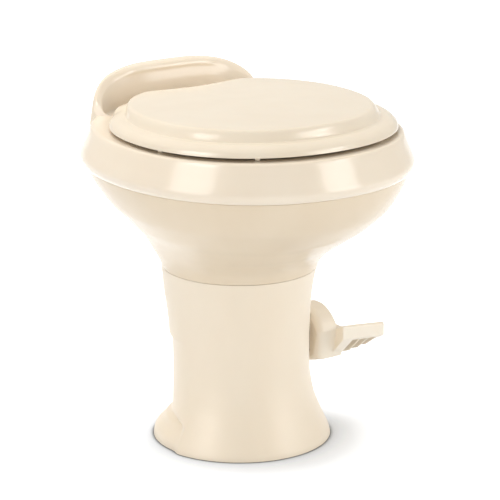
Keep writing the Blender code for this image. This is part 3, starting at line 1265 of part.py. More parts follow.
def make_lid(parent):
    profiles = []
    for turn in even_turns(LID_STATIONS):
        outer = lid_profile(turn)
        inward = (Vector((0, LID_TOP_Y)) - outer[0].xy).normalized()
        inner = inner_skin(outer, LID_WALL, inward)
        for point in inner:
            point.z = max(point.z, outer[0].z)
        profiles.append(list(reversed(outer)) + [inner[0]] + inner[2::2] + [inner[-1]])
    top = Vector((0, LID_TOP_Y, LID_TOP_HEIGHT + LID_CROWN))
    mesh = dome("lid", profiles, top, top - Vector((0, 0, LID_WALL)))
    lid = add_object("lid", mesh, plastic("lid_plastic", CREAM_LID, 0.25), hinge_point(0), parent,
                     math.radians(25))
    bores = []
    for side in (-1, 1):
        x = side * (HINGE_POST_X + HINGE_POST_WIDTH / 2 + FIT + HINGE_LUG_WIDTH / 2)
        barrel, arm = hinge_lug("lid_lug", x, HINGE_LUG_WIDTH, HINGE_Y - HINGE_BARREL * 0.9,
                                HINGE_Y + HINGE_BARREL * 0.9, HINGE_HEIGHT, LID_LEDGE_HEIGHT - LID_WALL / 2)
        shape_with(lid, "UNION", arm)
        shape_with(lid, "UNION", barrel)
        bores.append(rod("lid_bore", hinge_point(x - HINGE_LUG_WIDTH), hinge_point(x + HINGE_LUG_WIDTH),
                         HINGE_PIN_RADIUS + FIT, SMALL_SIDES))
    shape_with(lid, "DIFFERENCE", joined("lid_bores", bores))


def seat_outline(inset, height, turn):
    rear = SEAT_REAR_Y - inset
    return lid_outline(LID_HALF_WIDTH - SEAT_INSET - inset, LID_HALF_DEPTH - SEAT_INSET - inset, LID_Y,
                       rear, height, turn)


def seat_hole(extra, height, turn):
    flat = plan_point(SEAT_HOLE_HALF_WIDTH + extra, SEAT_HOLE_HALF_DEPTH + extra, SEAT_HOLE_Y, turn)
    return Vector((flat.x, flat.y, height))


def seat_profile(turn):
    rise = SEAT_TOP - SEAT_LOW
    outer = [seat_outline(0, SEAT_LOW, turn), seat_outline(0.0006, SEAT_LOW + rise * 0.35, turn),
             seat_outline(0.004, SEAT_LOW + rise * 0.72, turn), seat_outline(0.011, SEAT_TOP, turn)]
    inner = [seat_hole(0.011, SEAT_TOP, turn), seat_hole(0.004, SEAT_LOW + rise * 0.78, turn),
             seat_hole(0.0006, SEAT_LOW + rise * 0.4, turn), seat_hole(0, SEAT_LOW, turn)]
    under_top = SEAT_TOP - SEAT_WALL
    below = [seat_hole(SEAT_WALL, SEAT_LOW, turn), seat_hole(0.012, under_top, turn),
             seat_outline(0.013, under_top, turn), seat_outline(SEAT_WALL, SEAT_LOW + rise * 0.2, turn),
             seat_outline(SEAT_WALL, SEAT_LOW, turn)]
    return outer + inner + below


def make_seat(parent):
    loops = [seat_profile(turn) for turn in even_turns(LID_STATIONS)]
    seat = add_object("seat", loft("seat", loops), plastic("seat_plastic", CREAM_LID, 0.25), hinge_point(0),
                      parent, math.radians(25))
    bores = []
    for side in (-1, 1):
        x = side * (HINGE_POST_X - HINGE_POST_WIDTH / 2 - FIT - HINGE_LUG_WIDTH / 2)
        barrel, arm = hinge_lug("seat_lug", x, HINGE_LUG_WIDTH, SEAT_REAR_Y - 2 * SEAT_WALL, HINGE_Y,
                                HINGE_HEIGHT - HINGE_BARREL * 0.9, SEAT_TOP - FIT)
        shape_with(seat, "UNION", arm)
        shape_with(seat, "UNION", barrel)
        bores.append(rod("seat_bore", hinge_point(x - HINGE_LUG_WIDTH), hinge_point(x + HINGE_LUG_WIDTH),
                         HINGE_PIN_RADIUS + FIT, SMALL_SIDES))
    shape_with(seat, "DIFFERENCE", joined("seat_bores", bores))


def make_hinge_posts():
    nylon = plastic("hinge_plastic", CREAM_LID, 0.35)
    steel = plastic("zinc_steel", STEEL, 0.35, 1.0)
    for side, label in ((-1, "left"), (1, "right")):
        x = side * HINGE_POST_X
        half = HINGE_POST_WIDTH / 2
        foot = DECK_HEIGHT + FIT
        steps = 8
        outline = [(HINGE_Y - HINGE_BARREL, foot)]
        for index in range(steps + 1):
            around = math.pi * (1 - index / steps)
            outline.append((HINGE_Y + HINGE_BARREL * math.cos(around),
                            HINGE_HEIGHT + HINGE_BARREL * math.sin(around)))
        outline.append((HINGE_Y + HINGE_BARREL * 0.6, foot))
        post = add_object(f"hinge_post_{label}", prism("hinge_post", outline, x - half, x + half), nylon)
        place = Vector((x, HINGE_Y, foot))
        stud = rod("hinge_stud", place - Vector((0, 0, HINGE_STUD_LENGTH)), place + Vector((0, 0, HINGE_BARREL / 2)),
                   HINGE_STUD_RADIUS, SMALL_SIDES)
        shape_with(post, "UNION", stud)
        shape_with(post, "DIFFERENCE", rod("post_bore", hinge_point(x - HINGE_POST_WIDTH),
                                           hinge_point(x + HINGE_POST_WIDTH), HINGE_PIN_RADIUS + FIT, SMALL_SIDES))
        reach = half + FIT + HINGE_LUG_WIDTH
        pin = rod("hinge_pin", hinge_point(x - reach), hinge_point(x + reach), HINGE_PIN_RADIUS, SMALL_SIDES)
        add_object(f"hinge_pin_{label}", pin, steel)
        top = Vector((x, HINGE_Y, RING_TOP_UNDER - FIT))
        low = top - Vector((0, 0, NUT_THICK))
        nut = add_object(f"hinge_nut_{label}", rod("hinge_nut", low, top, NUT_RADIUS, SMALL_SIDES),
                         plastic("nylon", BLACK_NYLON, 0.5))
        wing = Vector((NUT_WING_REACH, NUT_WING_THICK / 2, 0))
        shape_with(nut, "UNION", block("nut_wings", low - wing + Vector((0, 0, FIT)), top + wing
                                       - Vector((0, 0, NUT_THICK / 3))))
        shape_with(nut, "DIFFERENCE", rod("nut_bore", low - Vector((0, 0, OVERRUN)),
                                          top + Vector((0, 0, OVERRUN)), HINGE_STUD_RADIUS + 2 * FIT,
                                          SMALL_SIDES))


def make_bumpers(seat_axis, lid_axis):
    rubber = plastic("bumper_plastic", CREAM_LID, 0.5)
    labels = ("front_right", "side_right", "front_left", "side_left")
    turns = BUMPER_TURNS + tuple(2 * math.pi - turn for turn in BUMPER_TURNS)
    for label, turn in zip(labels, turns):
        outer = seat_outline(0, SEAT_LOW - FIT, turn)
        inner = seat_outline(BUMPER_LENGTH, SEAT_LOW - FIT, turn)
        inward = (inner - outer).normalized()
        across = Vector((-inward.y, inward.x, 0)) * BUMPER_WIDTH / 2
        fall = Vector((0, 0, SEAT_LOW - FIT - DECK_HEIGHT - FIT))
        corners = [outer - across, outer + across, inner + across, inner - across]
        vertices = corners + [corner - fall for corner in corners]
        faces = [(0, 1, 2, 3), (7, 6, 5, 4)] + [(i, i + 4, (i + 1) % 4 + 4, (i + 1) % 4) for i in range(4)]
        add_object(f"seat_bumper_{label}", mesh_from(vertices, faces, "seat_bumper"), rubber, hinge_point(0),
                   seat_axis)
        spot = lid_outline(LID_HALF_WIDTH - LID_PAD_INSET, LID_HALF_DEPTH - LID_PAD_INSET, LID_Y,
                           LID_REAR_Y, SEAT_TOP + FIT, turn)
        high = Vector((spot.x, spot.y, LID_LEDGE_HEIGHT - LID_WALL - 4 * FIT))
        add_object(f"lid_bumper_{label}", rod("lid_bumper", spot, high, LID_PAD_RADIUS, SMALL_SIDES), rubber,
                   hinge_point(0), lid_axis)


def build():
    for item in list(bpy.data.objects):
        bpy.data.objects.remove(item)
    pedal_axis = axis_empty("pedal_axis", shaft_point(0))
    hinge_axis = axis_empty("hinge_axis", hinge_point(0))
    make_base()
    make_bowl_cover()
    make_rim_shell()
    make_inner_bowl()
    make_bowl_screws()
    make_valve_housing()
    make_seals()
    make_ball(pedal_axis)
    make_shaft(pedal_axis)
    make_cam(pedal_axis)
    make_pedal(pedal_axis)
    make_spring()
    make_water_valve()
    make_vacuum_breaker()
    make_hoses()
    make_lid(hinge_axis)
    make_seat(hinge_axis)
    make_hinge_posts()
    make_bumpers(hinge_axis, hinge_axis)


build()
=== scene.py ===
import math

import bmesh
import bpy
import numpy as np
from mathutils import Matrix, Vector


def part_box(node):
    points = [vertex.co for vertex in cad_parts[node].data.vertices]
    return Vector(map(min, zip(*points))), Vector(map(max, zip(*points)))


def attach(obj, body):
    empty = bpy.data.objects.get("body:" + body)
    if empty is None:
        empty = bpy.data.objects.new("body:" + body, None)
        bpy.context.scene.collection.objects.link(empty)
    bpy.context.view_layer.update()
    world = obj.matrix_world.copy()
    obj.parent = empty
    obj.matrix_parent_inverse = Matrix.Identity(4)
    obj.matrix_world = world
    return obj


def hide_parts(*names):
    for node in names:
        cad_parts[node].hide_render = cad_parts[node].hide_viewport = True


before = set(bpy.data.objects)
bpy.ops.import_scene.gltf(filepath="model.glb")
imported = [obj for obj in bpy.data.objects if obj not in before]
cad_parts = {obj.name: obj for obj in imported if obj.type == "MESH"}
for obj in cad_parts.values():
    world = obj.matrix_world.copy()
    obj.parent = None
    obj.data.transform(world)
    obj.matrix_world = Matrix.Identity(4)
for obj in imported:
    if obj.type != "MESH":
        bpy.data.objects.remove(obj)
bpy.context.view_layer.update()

# The photograph's viewpoint: the toilet seen from its front left, looking down by 16 degrees, with a
# long lens from about three metres, so that its upright lines stay nearly parallel.
camera_distance = 3.201
aim_point = Vector((0.0159, 0.0152, 0.245))
toward_camera = Vector((-0.5447, -0.7925, 0.2745)).normalized()
camera = bpy.data.objects.new("camera", bpy.data.cameras.new("camera"))
bpy.context.collection.objects.link(camera)
camera.data.lens = 178.06
camera.data.sensor_width = 36
camera.data.clip_start = 0.1
camera.data.clip_end = 50
camera.location = aim_point + camera_distance * toward_camera
camera.rotation_mode = "QUATERNION"
camera.rotation_quaternion = (-toward_camera).to_track_quat("-Z", "Y")
bpy.context.scene.camera = camera
bpy.context.scene.view_settings.view_transform = "Standard"


# Helpers for the materials: hex colours, shader nodes and the few node groups that most of the
# finishes share. Sizes of marks are given in millimetres.
def linear(shade):
    """A hex sRGB colour as the linear values that the shaders take."""
    parts = [int(shade[i:i + 2], 16) / 255 for i in (0, 2, 4)]
    return [p / 12.92 if p <= 0.04045 else ((p + 0.055) / 1.055) ** 2.4 for p in parts] + [1]


def node(tree, kind, settings=None, links=None, **values):
    """Adds one shader node: settings are its own options, values its inputs, links its wires."""
    made = tree.nodes.new(kind)
    for name, value in (settings or {}).items():
        setattr(made, name, value)
    for name, value in values.items():
        socket = int(name[1:]) if name[1:].isdigit() else name.replace("_", " ")
        made.inputs[socket].default_value = value
    for name, source in (links or {}).items():
        tree.links.new(source, made.inputs[name])
    return made


def combine(tree, operation, first, second):
    """One value from two: their product or the larger one."""
    return node(tree, "ShaderNodeMath", {"operation": operation}, {0: first, 1: second}).outputs[0]


def remap(tree, value, low, high, new_low=0.0, new_high=1.0):
    """Spreads the part of a value between low and high over the new span."""
    return node(tree, "ShaderNodeMapRange", None, {0: value},
                _1=low, _2=high, _3=new_low, _4=new_high).outputs[0]


def blend(tree, share, dark, light):
    """A colour between two hex ones; where the share is 1 it is the light one."""
    return node(tree, "ShaderNodeMix", {"data_type": "RGBA"}, {0: share},
                _6=linear(dark), _7=linear(light)).outputs[2]


def mottle(tree, place, size_mm, detail):
    """Noise with marks about this many millimetres across."""
    return node(tree, "ShaderNodeTexNoise", None, {"Vector": place},
                Scale=1000 / size_mm, Detail=detail).outputs[0]


def new_finish(name):
    """An empty material, its node tree and the coordinates of the piece that wears it."""
    finish = bpy.data.materials.new(name)
    finish.use_nodes = True
    tree = finish.node_tree
    tree.nodes.clear()
    return finish, tree, node(tree, "ShaderNodeTexCoord").outputs["Object"]


def coat(tree, links, **values):
    """Gives a material the surface that light meets."""
    surface = node(tree, "ShaderNodeBsdfPrincipled", None, links, **values)
    node(tree, "ShaderNodeOutputMaterial", None, {0: surface.outputs[0]})


# The studio: a seamless pale floor that keeps the soft shadow, an even white room, four panels that
# light the toilet without showing in its gloss, and four cards that show only as its highlights.
world = bpy.data.worlds.new("bright_room")
world.use_nodes = True
bpy.context.scene.world = world
room = world.node_tree
room.nodes.clear()
path = node(room, "ShaderNodeLightPath").outputs
seen = combine(room, "MAXIMUM", path["Is Camera Ray"], path["Is Transmission Ray"])
lit = node(room, "ShaderNodeBackground", Color=linear("FFFDF8"), Strength=0.68)
white = node(room, "ShaderNodeBackground", Color=linear("FFFFFF"), Strength=1.0)
room_mix = node(room, "ShaderNodeMixShader", None,
                {0: seen, 1: lit.outputs[0], 2: white.outputs[0]})
node(room, "ShaderNodeOutputWorld", None, {0: room_mix.outputs[0]})

floor_finish, paper, place = new_finish("pale_seamless_floor")
path = node(paper, "ShaderNodeLightPath").outputs
seen = combine(paper, "MAXIMUM", path["Is Camera Ray"], path["Is Glossy Ray"])
# painted shadow: the floor's colour darkens softly within 60 mm of the foot and sharply
# within 7 mm, under its edge
near = node(paper, "ShaderNodeAmbientOcclusion", {"samples": 8}, Distance=0.06).outputs["AO"]
under = node(paper, "ShaderNodeAmbientOcclusion", {"samples": 8}, Distance=0.007).outputs["AO"]
line = remap(paper, under, 0.45, 0.9)
shadow = remap(paper, near, 0.5, 0.95, 0.02)
painted_shadow_tone = node(paper, "ShaderNodeMix", {"data_type": "RGBA"},
            {0: line, 7: blend(paper, shadow, "B4B8C0", "E6EAF0")}, _6=linear("454443"))
matt = node(paper, "ShaderNodeBsdfDiffuse", None, {0: painted_shadow_tone.outputs[2]}).outputs[0]
# what the camera and the gloss see of it glows a little, least beside the foot where the painted
# shadow lies, so that the paper runs out into pure white
away = node(paper, "ShaderNodeVectorMath", {"operation": "LENGTH"}, {0: place}).outputs[1]
lift = remap(paper, away, 0.135, 0.20, 0.30, 0.65)
shine = combine(paper, "MULTIPLY", combine(paper, "MULTIPLY", lift, shadow), line)
glow = node(paper, "ShaderNodeEmission", None, {"Strength": shine}, Color=linear("FFFFFF"))
both = node(paper, "ShaderNodeAddShader", None, {0: matt, 1: glow.outputs[0]}).outputs[0]
shown = node(paper, "ShaderNodeMixShader", None, {0: seen, 1: matt, 2: both}).outputs[0]
node(paper, "ShaderNodeOutputMaterial", None, {0: shown})

floor_reach = 9
floor_drop = 0.0005
floor_mesh = bpy.data.meshes.new("floor")
floor_mesh.from_pydata([(x * floor_reach, y * floor_reach, 0)
                        for x, y in ((-1, -1), (1, -1), (1, 1), (-1, 1))], [], [(0, 1, 2, 3)])
floor = bpy.data.objects.new("floor", floor_mesh)
floor.location.z = -floor_drop
floor_mesh.materials.append(floor_finish)
bpy.context.collection.objects.link(floor)

# every lamp faces a point in the middle of the toilet; the last two columns say whether it lights
# the surfaces and whether their gloss shows it
lamp_aim = Vector((0, 0, 0.3))
for name, spot, size, power, lights, glows in (
        ("overhead_panel", (-0.2, 1.0, 2.2), (2.0, 1.6), 32, True, False),
        ("left_panel", (-2.1, -0.9, 0.55), (0.7, 1.1), 7.5, True, False),
        ("right_panel", (2.1, -1.5, 0.52), (1.2, 1.1), 16, True, False),
        ("front_panel", (-0.5, -2.5, 0.22), (1.4, 0.4), 6, True, False),
        ("left_card", (-2.20, -0.33, 1.05), (1.20, 2.0), 32, False, True),
        ("right_card", (1.14, -2.02, 1.02), (0.90, 2.0), 27, False, True),
        ("left_high_card", (-1.83, -0.29, 1.97), (0.9, 0.65), 10, False, True),
        ("right_high_card", (1.39, -1.52, 1.78), (0.5, 0.5), 4, False, True)):
    lamp = bpy.data.lights.new(name, "AREA")
    lamp.shape = "RECTANGLE"
    lamp.size, lamp.size_y = size
    lamp.energy = power
    lamp.color = linear("FFFDFB")[:3]
    panel = bpy.data.objects.new(name, lamp)
    panel.location = spot
    panel.rotation_mode = "QUATERNION"
    panel.rotation_quaternion = (lamp_aim - Vector(spot)).to_track_quat("-Z", "Y")
    panel.visible_diffuse = lights
    panel.visible_glossy = glows
    bpy.context.collection.objects.link(panel)

# Helpers for the shapes: a piece is a stack of like rings of points, joined with and cut by plain
# solids. Edges that turn by more than this many degrees count as corners.
corner_angle = 38


def stacked(sections, closed=False):
    """Vertices and faces of a solid through like rings of points; closed joins its two ends."""
    count = len(sections[0])
    vertices = [tuple(p) for ring in sections for p in ring]
    faces = []
    levels = len(sections)
    for level in range(levels if closed else levels - 1):
        low, high = level * count, (level + 1) % levels * count
        for i in range(count):
            j = (i + 1) % count
            faces.append((low + i, low + j, high + j, high + i))
    if not closed:
        faces.append(tuple(reversed(range(count))))
        faces.append(tuple(range((levels - 1) * count, levels * count)))
    return vertices, faces


def even_turns(count):
    """Angles spaced evenly round a ring, the first half a step past the front."""
    return [2 * math.pi * (i + 0.5) / count for i in range(count)]


def circle(centre, direction, radius, sides):
    across = Vector(direction).orthogonal().normalized()
    beside = Vector(direction).normalized().cross(across)
    turns = [2 * math.pi * i / sides for i in range(sides)]
    return [Vector(centre) + radius * (math.cos(t) * across + math.sin(t) * beside) for t in turns]


def rod(centre, axis, ends, radius, sides=48):
    """A round bar through centre along axis 0, 1 or 2, between two places on that axis."""
    direction = [float(i == axis) for i in range(3)]
    rings = []
    for end in ends:
        spot = Vector(centre)
        spot[axis] = end
        rings.append(circle(spot, direction, radius, sides))
    return stacked(rings)


def shade_smooth(mesh, sharp):
    mesh.polygons.foreach_set("use_smooth", [True] * len(mesh.polygons))
    mesh.set_sharp_from_angle(angle=math.radians(sharp))


def add_piece(name, solid, material):
    """A new object from vertices and faces, its faces turned outward and shaded smooth."""
    mesh = bpy.data.meshes.new(name)
    mesh.from_pydata(solid[0], [], solid[1])
    work = bmesh.new()
    work.from_mesh(mesh)
    bmesh.ops.recalc_face_normals(work, faces=work.faces)
    work.to_mesh(mesh)
    work.free()
    shade_smooth(mesh, corner_angle)
    if material:
        mesh.materials.append(material)
    piece = bpy.data.objects.new(name, mesh)
    bpy.context.collection.objects.link(piece)
    return piece


def bake(piece, sharp=corner_angle):
    """Puts what the modifiers make into the piece's own mesh."""
    bpy.context.view_layer.update()
    evaluated = piece.evaluated_get(bpy.context.evaluated_depsgraph_get())
    made = bpy.data.meshes.new_from_object(evaluated)
    piece.modifiers.clear()
    piece.data = made
    shade_smooth(made, sharp)


def carve(piece, operation, solid):
    """Joins a solid to the piece or cuts it away."""
    tool = add_piece("tool", solid, None)
    change = piece.modifiers.new("carve", "BOOLEAN")
    change.operation = operation
    change.solver = "EXACT"
    change.object = tool
    bake(piece)
    bpy.data.objects.remove(tool)


def soften(piece, width, segments=2):
    """The small radius that a mould leaves on the real corners."""
    edge = piece.modifiers.new("mould_radius", "BEVEL")
    edge.width = width
    edge.segments = segments
    edge.limit_method = "ANGLE"
    edge.angle_limit = math.radians(corner_angle)
    edge.use_clamp_overlap = True


def smooth_table(rows, at):
    """Reads a shape table at any height, with slopes that never pass beyond its rows."""
    rows = np.array(rows, float)
    key, value = rows[:, 0], rows[:, 1:]
    step = np.diff(key)[:, None]
    climb = np.diff(value, axis=0) / step
    product = climb[:-1] * climb[1:]
    total = climb[:-1] + climb[1:]
    slope = np.zeros_like(value)
    slope[1:-1] = np.where(product > 0, 2 * product / np.where(product > 0, total, 1), 0)
    slope[0], slope[-1] = climb[0], climb[-1]
    at = np.asarray(at, float)
    low = np.clip(np.searchsorted(key, at, side="right") - 1, 0, len(step) - 1)
    t = ((at - key[low]) / step[low, 0])[:, None]
    run = step[low]
    return ((2 * t ** 3 - 3 * t ** 2 + 1) * value[low]
            + (t ** 3 - 2 * t ** 2 + t) * run * slope[low]
            + (3 * t ** 2 - 2 * t ** 3) * value[low + 1]
            + (t ** 3 - t ** 2) * run * slope[low + 1])


def ease(value, low, high):
    """0 below low, 1 above high and a soft step between them."""
    t = min(max((value - low) / (high - low), 0.0), 1.0)
    return t * t * (3 - 2 * t)


# The pedestal is one injection moulding in cream polypropylene: a hollow column with a flared foot, a
# round lobe behind each floor bolt, a ledge inside for the valve and a boss for the pedal's shaft.
def moulded_polypropylene(name, shade, shadow_shade, roughness, peel_mm, peel_depth, sheen=0.5):
    """Moulded plastic: even colour, faint flow marks and a soft ripple, peel_depth in metres."""
    finish, tree, place = new_finish(name)
    # flow marks about 70 mm across, stretched upright as the melt ran
    spread = node(tree, "ShaderNodeMapping", None, {0: place}, Scale=(1, 1, 0.45)).outputs[0]
    flow = remap(tree, mottle(tree, spread, 70, 3.0), 0.35, 0.68)
    # rubbed and unrubbed places about 25 mm across change the gloss a little
    gloss = remap(tree, mottle(tree, place, 25, 2.0), 0.3, 0.7, roughness - 0.015, roughness + 0.02)
    ripple = node(tree, "ShaderNodeBump", None, {"Height": mottle(tree, place, peel_mm, 2.0)},
                  Strength=0.35, Distance=peel_depth).outputs[0]
    coat(tree, {"Base Color": blend(tree, flow, shadow_shade, shade), "Roughness": gloss,
                "Normal": ripple}, IOR=1.49, Specular_IOR_Level=sheen, Subsurface_Weight=0.06,
         Subsurface_Radius=(1.0, 0.7, 0.45), Subsurface_Scale=0.002)
    return finish


gap = 0.0003
wall = 0.0035
pedestal_y = 0.0152
foot_radius, front_waist, back_waist = 0.1186, 0.0905, 0.0870
collar_height, collar_radius = 0.2295, 0.100
tongue_radius, tongue_bore, tongue_height = 0.0963, 0.0928, 0.009
ledge_top, ledge_low, ledge_width = 0.1579, 0.1539, 0.0085
foot_plate, foot_plate_rise, foot_bore = 0.008, 0.035, 0.050
# rows: share of the column's height, and share of the way from its waist to the foot's radius, for
# the front and for the back with its step at three fifths of the height
foot_flare = [
    (0.000, 1.00), (0.013, 0.985), (0.061, 0.84), (0.122, 0.61), (0.179, 0.42), (0.240, 0.24),
    (0.296, 0.14), (0.383, 0.03), (0.480, 0.00), (0.590, 0.00), (0.675, 0.02), (0.762, 0.05),
    (0.850, 0.11), (0.935, 0.21), (1.000, 0.33)]
back_flare = [
    (0.000, 0.84), (0.035, 0.80), (0.061, 0.69), (0.092, 0.47), (0.122, 0.31), (0.146, 0.09),
    (0.185, 0.01), (0.260, 0.00), (0.440, 0.00), (0.585, 0.03), (0.605, 0.15), (0.680, 0.20),
    (0.765, 0.27), (0.850, 0.36), (1.000, 0.46)]
column_top = collar_height - gap
rises = sorted(set(np.linspace(0, 1, 80)) | {row[0] for row in back_flare})
front_radii = front_waist + smooth_table(foot_flare, rises)[:, 0] * (foot_radius - front_waist)
back_radii = back_waist + smooth_table(back_flare, rises)[:, 0] * (foot_radius - back_waist)
rises_over_ledge = [0.9, 0.75, 0.685]
rises_under_ledge = [0.610, 0.570, 0.340, 0.200, 0.160, 0.120]
# the front runs into the back at the sides: quickly at the foot, slowly above the lobes
lobe_low, lobe_high = 0.120, 0.200
join_start, join_end, join_spread = math.radians(75.5), math.radians(84.5), math.radians(44)


def column_radius(rise, turn):
    around = min(turn, 2 * math.pi - turn)
    spread = join_spread * ease(rise, lobe_low, lobe_high)
    behind = ease(around, join_start, join_end + spread)
    front = np.interp(rise, rises, front_radii)
    return front + behind * (np.interp(rise, rises, back_radii) - front)


def column_profile(turn):
    """Radius and height up the outer face, over the tongue and down the inside of the column."""
    outline = [(column_radius(rise, turn), rise * column_top) for rise in rises]
    outline[-1] = (collar_radius, column_top)
    outline += [(tongue_radius, column_top), (tongue_radius, column_top + tongue_height),
                (tongue_bore, column_top + tongue_height)]
    outline += [(column_radius(rise, turn) - wall, rise * column_top) for rise in rises_over_ledge]
    over = column_radius(ledge_top / column_top, turn) - wall
    under = column_radius(ledge_low / column_top, turn) - wall
    outline += [(over, ledge_top), (under - ledge_width, ledge_top),
                (under - ledge_width, ledge_low), (under, ledge_low)]
    outline += [(column_radius(rise, turn) - wall, rise * column_top) for rise in rises_under_ledge]
    return outline + [(column_radius(foot_plate_rise, turn) - wall, foot_plate),
                      (foot_bore, foot_plate), (foot_bore, 0)]


column_rings = [[(r * math.sin(turn), pedestal_y - r * math.cos(turn), z)
                 for r, z in column_profile(turn)] for turn in even_turns(200)]
# the column's mould was blasted, not polished, so its highlights spread out
cream_column = moulded_polypropylene("satin_cream_polypropylene", "F1E4D0", "EFE1CC",
                                     0.42, 1.2, 0.000012)
pedestal = add_piece("pedestal_moulding", stacked(column_rings, closed=True), cream_column)
shaft_height = 0.109
shaft = Vector((0, pedestal_y, shaft_height))
boss_ends, boss_radius = (0.0835, 0.0957), 0.018
shaft_bore_ends, shaft_bore_radius = (0.0675, 0.0997), 0.0103
carve(pedestal, "UNION", rod(shaft, 0, boss_ends, boss_radius))
carve(pedestal, "DIFFERENCE", rod(shaft, 0, shaft_bore_ends, shaft_bore_radius))
slot_x, slot_half_width, slot_half_length = 0.0794, 0.0055, 0.009
for side in (-1, 1):
    slot_corners = [(side * slot_x + x * slot_half_width, pedestal_y + y * slot_half_length)
                    for x, y in ((-1, -1), (1, -1), (1, 1), (-1, 1))]
    carve(pedestal, "DIFFERENCE", stacked([[(x, y, z) for x, y in slot_corners]
                                           for z in (-0.004, 0.012)]))
# the hole in the column's back that the supply hose leaves by
hose_hole, hose_hole_ends, hose_hole_radius = (0.074, 0, 0.1765), (0.0307, 0.1152), 0.011
carve(pedestal, "DIFFERENCE", rod(hose_hole, 1, hose_hole_ends, hose_hole_radius))
soften(pedestal, 0.0006)
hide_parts("base_pedestal")
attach(pedestal, "frame")

# The bowl's outer cover is a second moulding of the same plastic: it flares from the collar to the
# ring, drops over a tongue of the pedestal and carries a tongue of its own inside the ring's seam.
plan_power = 2.12
shell = 0.0032
ring_half_width, ring_half_depth = 0.2035, 0.2195
seam_height = 0.367
cover_inset, cover_shift, cover_lip_inset = 0.0062, 0.028, 0.0049
# the cover is round at the collar and has the ring's plan from this share of its height
cover_round_share = 0.2
# rows: share of the cover's height; shares of the way from collar to ring in half width and half
# depth; share of the shift towards the front
cover_flare = [
    (0.000, 0.008, 0.008, 0.00), (0.022, 0.012, 0.012, 0.00), (0.050, 0.022, 0.022, 0.00),
    (0.091, 0.044, 0.044, 0.00), (0.185, 0.123, 0.122, 0.10), (0.287, 0.231, 0.230, 0.40),
    (0.382, 0.347, 0.345, 0.65), (0.476, 0.484, 0.481, 0.81), (0.578, 0.619, 0.614, 0.86),
    (0.673, 0.745, 0.740, 0.80), (0.818, 0.879, 0.873, 0.70), (0.920, 0.955, 0.948, 0.62),
    (1.000, 1.000, 1.000, 0.543)]


def plan(half_width, half_depth, centre_y, turn):
    """A point of the rounded plan outline; turn 0 is the front, a quarter turn the +X side."""
    sine, cosine = math.sin(turn), math.cos(turn)
    return Vector((half_width * math.copysign(abs(sine) ** (2 / plan_power), sine),
                   centre_y - half_depth * math.copysign(abs(cosine) ** (2 / plan_power), cosine)))


def rounded_plan(half_width, half_depth, centre_y, turn, share):
    """The plan outline where the share is 1, and a plain ellipse where it is 0."""
    ellipse = Vector((half_width * math.sin(turn), centre_y - half_depth * math.cos(turn)))
    return ellipse.lerp(plan(half_width, half_depth, centre_y, turn), share)


cover_rises = np.linspace(0, 1, 56)
cover_shares = smooth_table(cover_flare, cover_rises)
cover_rings = []
for turn in even_turns(176):
    outer = []
    for rise, (width_share, depth_share, forward) in zip(cover_rises, cover_shares):
        half_width = collar_radius + width_share * (ring_half_width - cover_inset - collar_radius)
        half_depth = collar_radius + depth_share * (ring_half_depth - cover_inset - collar_radius)
        spot = rounded_plan(half_width, half_depth, pedestal_y - forward * cover_shift, turn,
                            min(rise / cover_round_share, 1.0))
        height = collar_height + rise * (seam_height - gap - collar_height)
        outer.append(Vector((spot.x, spot.y, height)))
    inward = (Vector((0, pedestal_y)) - outer[0].xy).normalized().to_3d()
    inner = []
    for i in range(0, len(outer), 5):
        before, after = outer[max(i - 1, 0)], outer[min(i + 1, len(outer) - 1)]
        climb = after.z - before.z
        slant = math.hypot((after - before).xy.length, climb) / max(climb, 1e-6)
        inner.append(outer[i] + inward * min(shell * slant, 2 * shell))
    lip = outer[-1] + inward * cover_lip_inset
    up = Vector((0, 0, tongue_height))
    cover_rings.append(outer + [lip, lip + up, lip + up + inward * shell, lip - up + inward * shell]
                       + inner[:-1][::-1])
# the cover is the same plastic but less glossy, and its colour is darkened as painted shade for
# the dim, downward-facing flare below the ring
cream_cover_painted_shade = moulded_polypropylene("cream_polypropylene_with_painted_shade", "E8D8C0", "E5D4BB",
                                    0.24, 2.4, 0.000008, sheen=0.22)
cover = add_piece("bowl_cover_moulding", stacked(cover_rings, closed=True), cream_cover_painted_shade)
soften(cover, 0.0016, 3)
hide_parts("bowl_cover")
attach(cover, "frame")


# The upper ring is the third body moulding: a rounded band round the bowl whose back rises into a
# hood, with a flat deck inside for the seat and a short lip that hangs into the bowl.
def smooth_line(points, steps, corners):
    """A curve through a profile's points that keeps the corners named by their index."""
    smooth = []
    last = len(points) - 1
    for i in range(last):
        a, b = points[i], points[i + 1]
        span = (b - a).length
        leave, arrive = b - a, b - a
        if i not in corners and i > 0:
            leave = (b - points[i - 1]) * (span / max(span + (a - points[i - 1]).length, 1e-9))
        if i + 1 not in corners and i + 1 < last:
            arrive = (points[i + 2] - a) * (span / max(span + (points[i + 2] - b).length, 1e-9))
        for step in range(steps):
            t = step / steps
            smooth.append(a * (2 * t ** 3 - 3 * t ** 2 + 1) + leave * (t ** 3 - 2 * t ** 2 + t)
                          + b * (3 * t ** 2 - 2 * t ** 3) + arrive * (t ** 3 - t ** 2))
    return smooth + [points[-1]]


def inner_skin(points, thickness, inward):
    """The other side of a sheet: each profile point moved square to the profile, inward."""
    flat = [((p - points[0]).xy.dot(inward.xy), p.z) for p in points]
    moved = []
    for i, point in enumerate(points):
        before, after = flat[max(i - 1, 0)], flat[min(i + 1, len(flat) - 1)]
        along = Vector((after[0] - before[0], after[1] - before[1])).normalized()
        moved.append(point + Vector((inward.x * along.y, inward.y * along.y, -along.x)) * thickness)
    return moved


bulge_height, deck_height, hood_height = 0.378, 0.4148, 0.4683
mouth_half_width, mouth_half_depth, mouth_y = 0.134, 0.142, -0.030
lip_drop = 0.010
hood_depth = 0.043
# across the back the hood is level to hood_flat and has fallen to the deck hood_fall further out
hood_flat, hood_fall, hood_power = 0.034, 0.101, 2.2
hood_sweep = 0.35
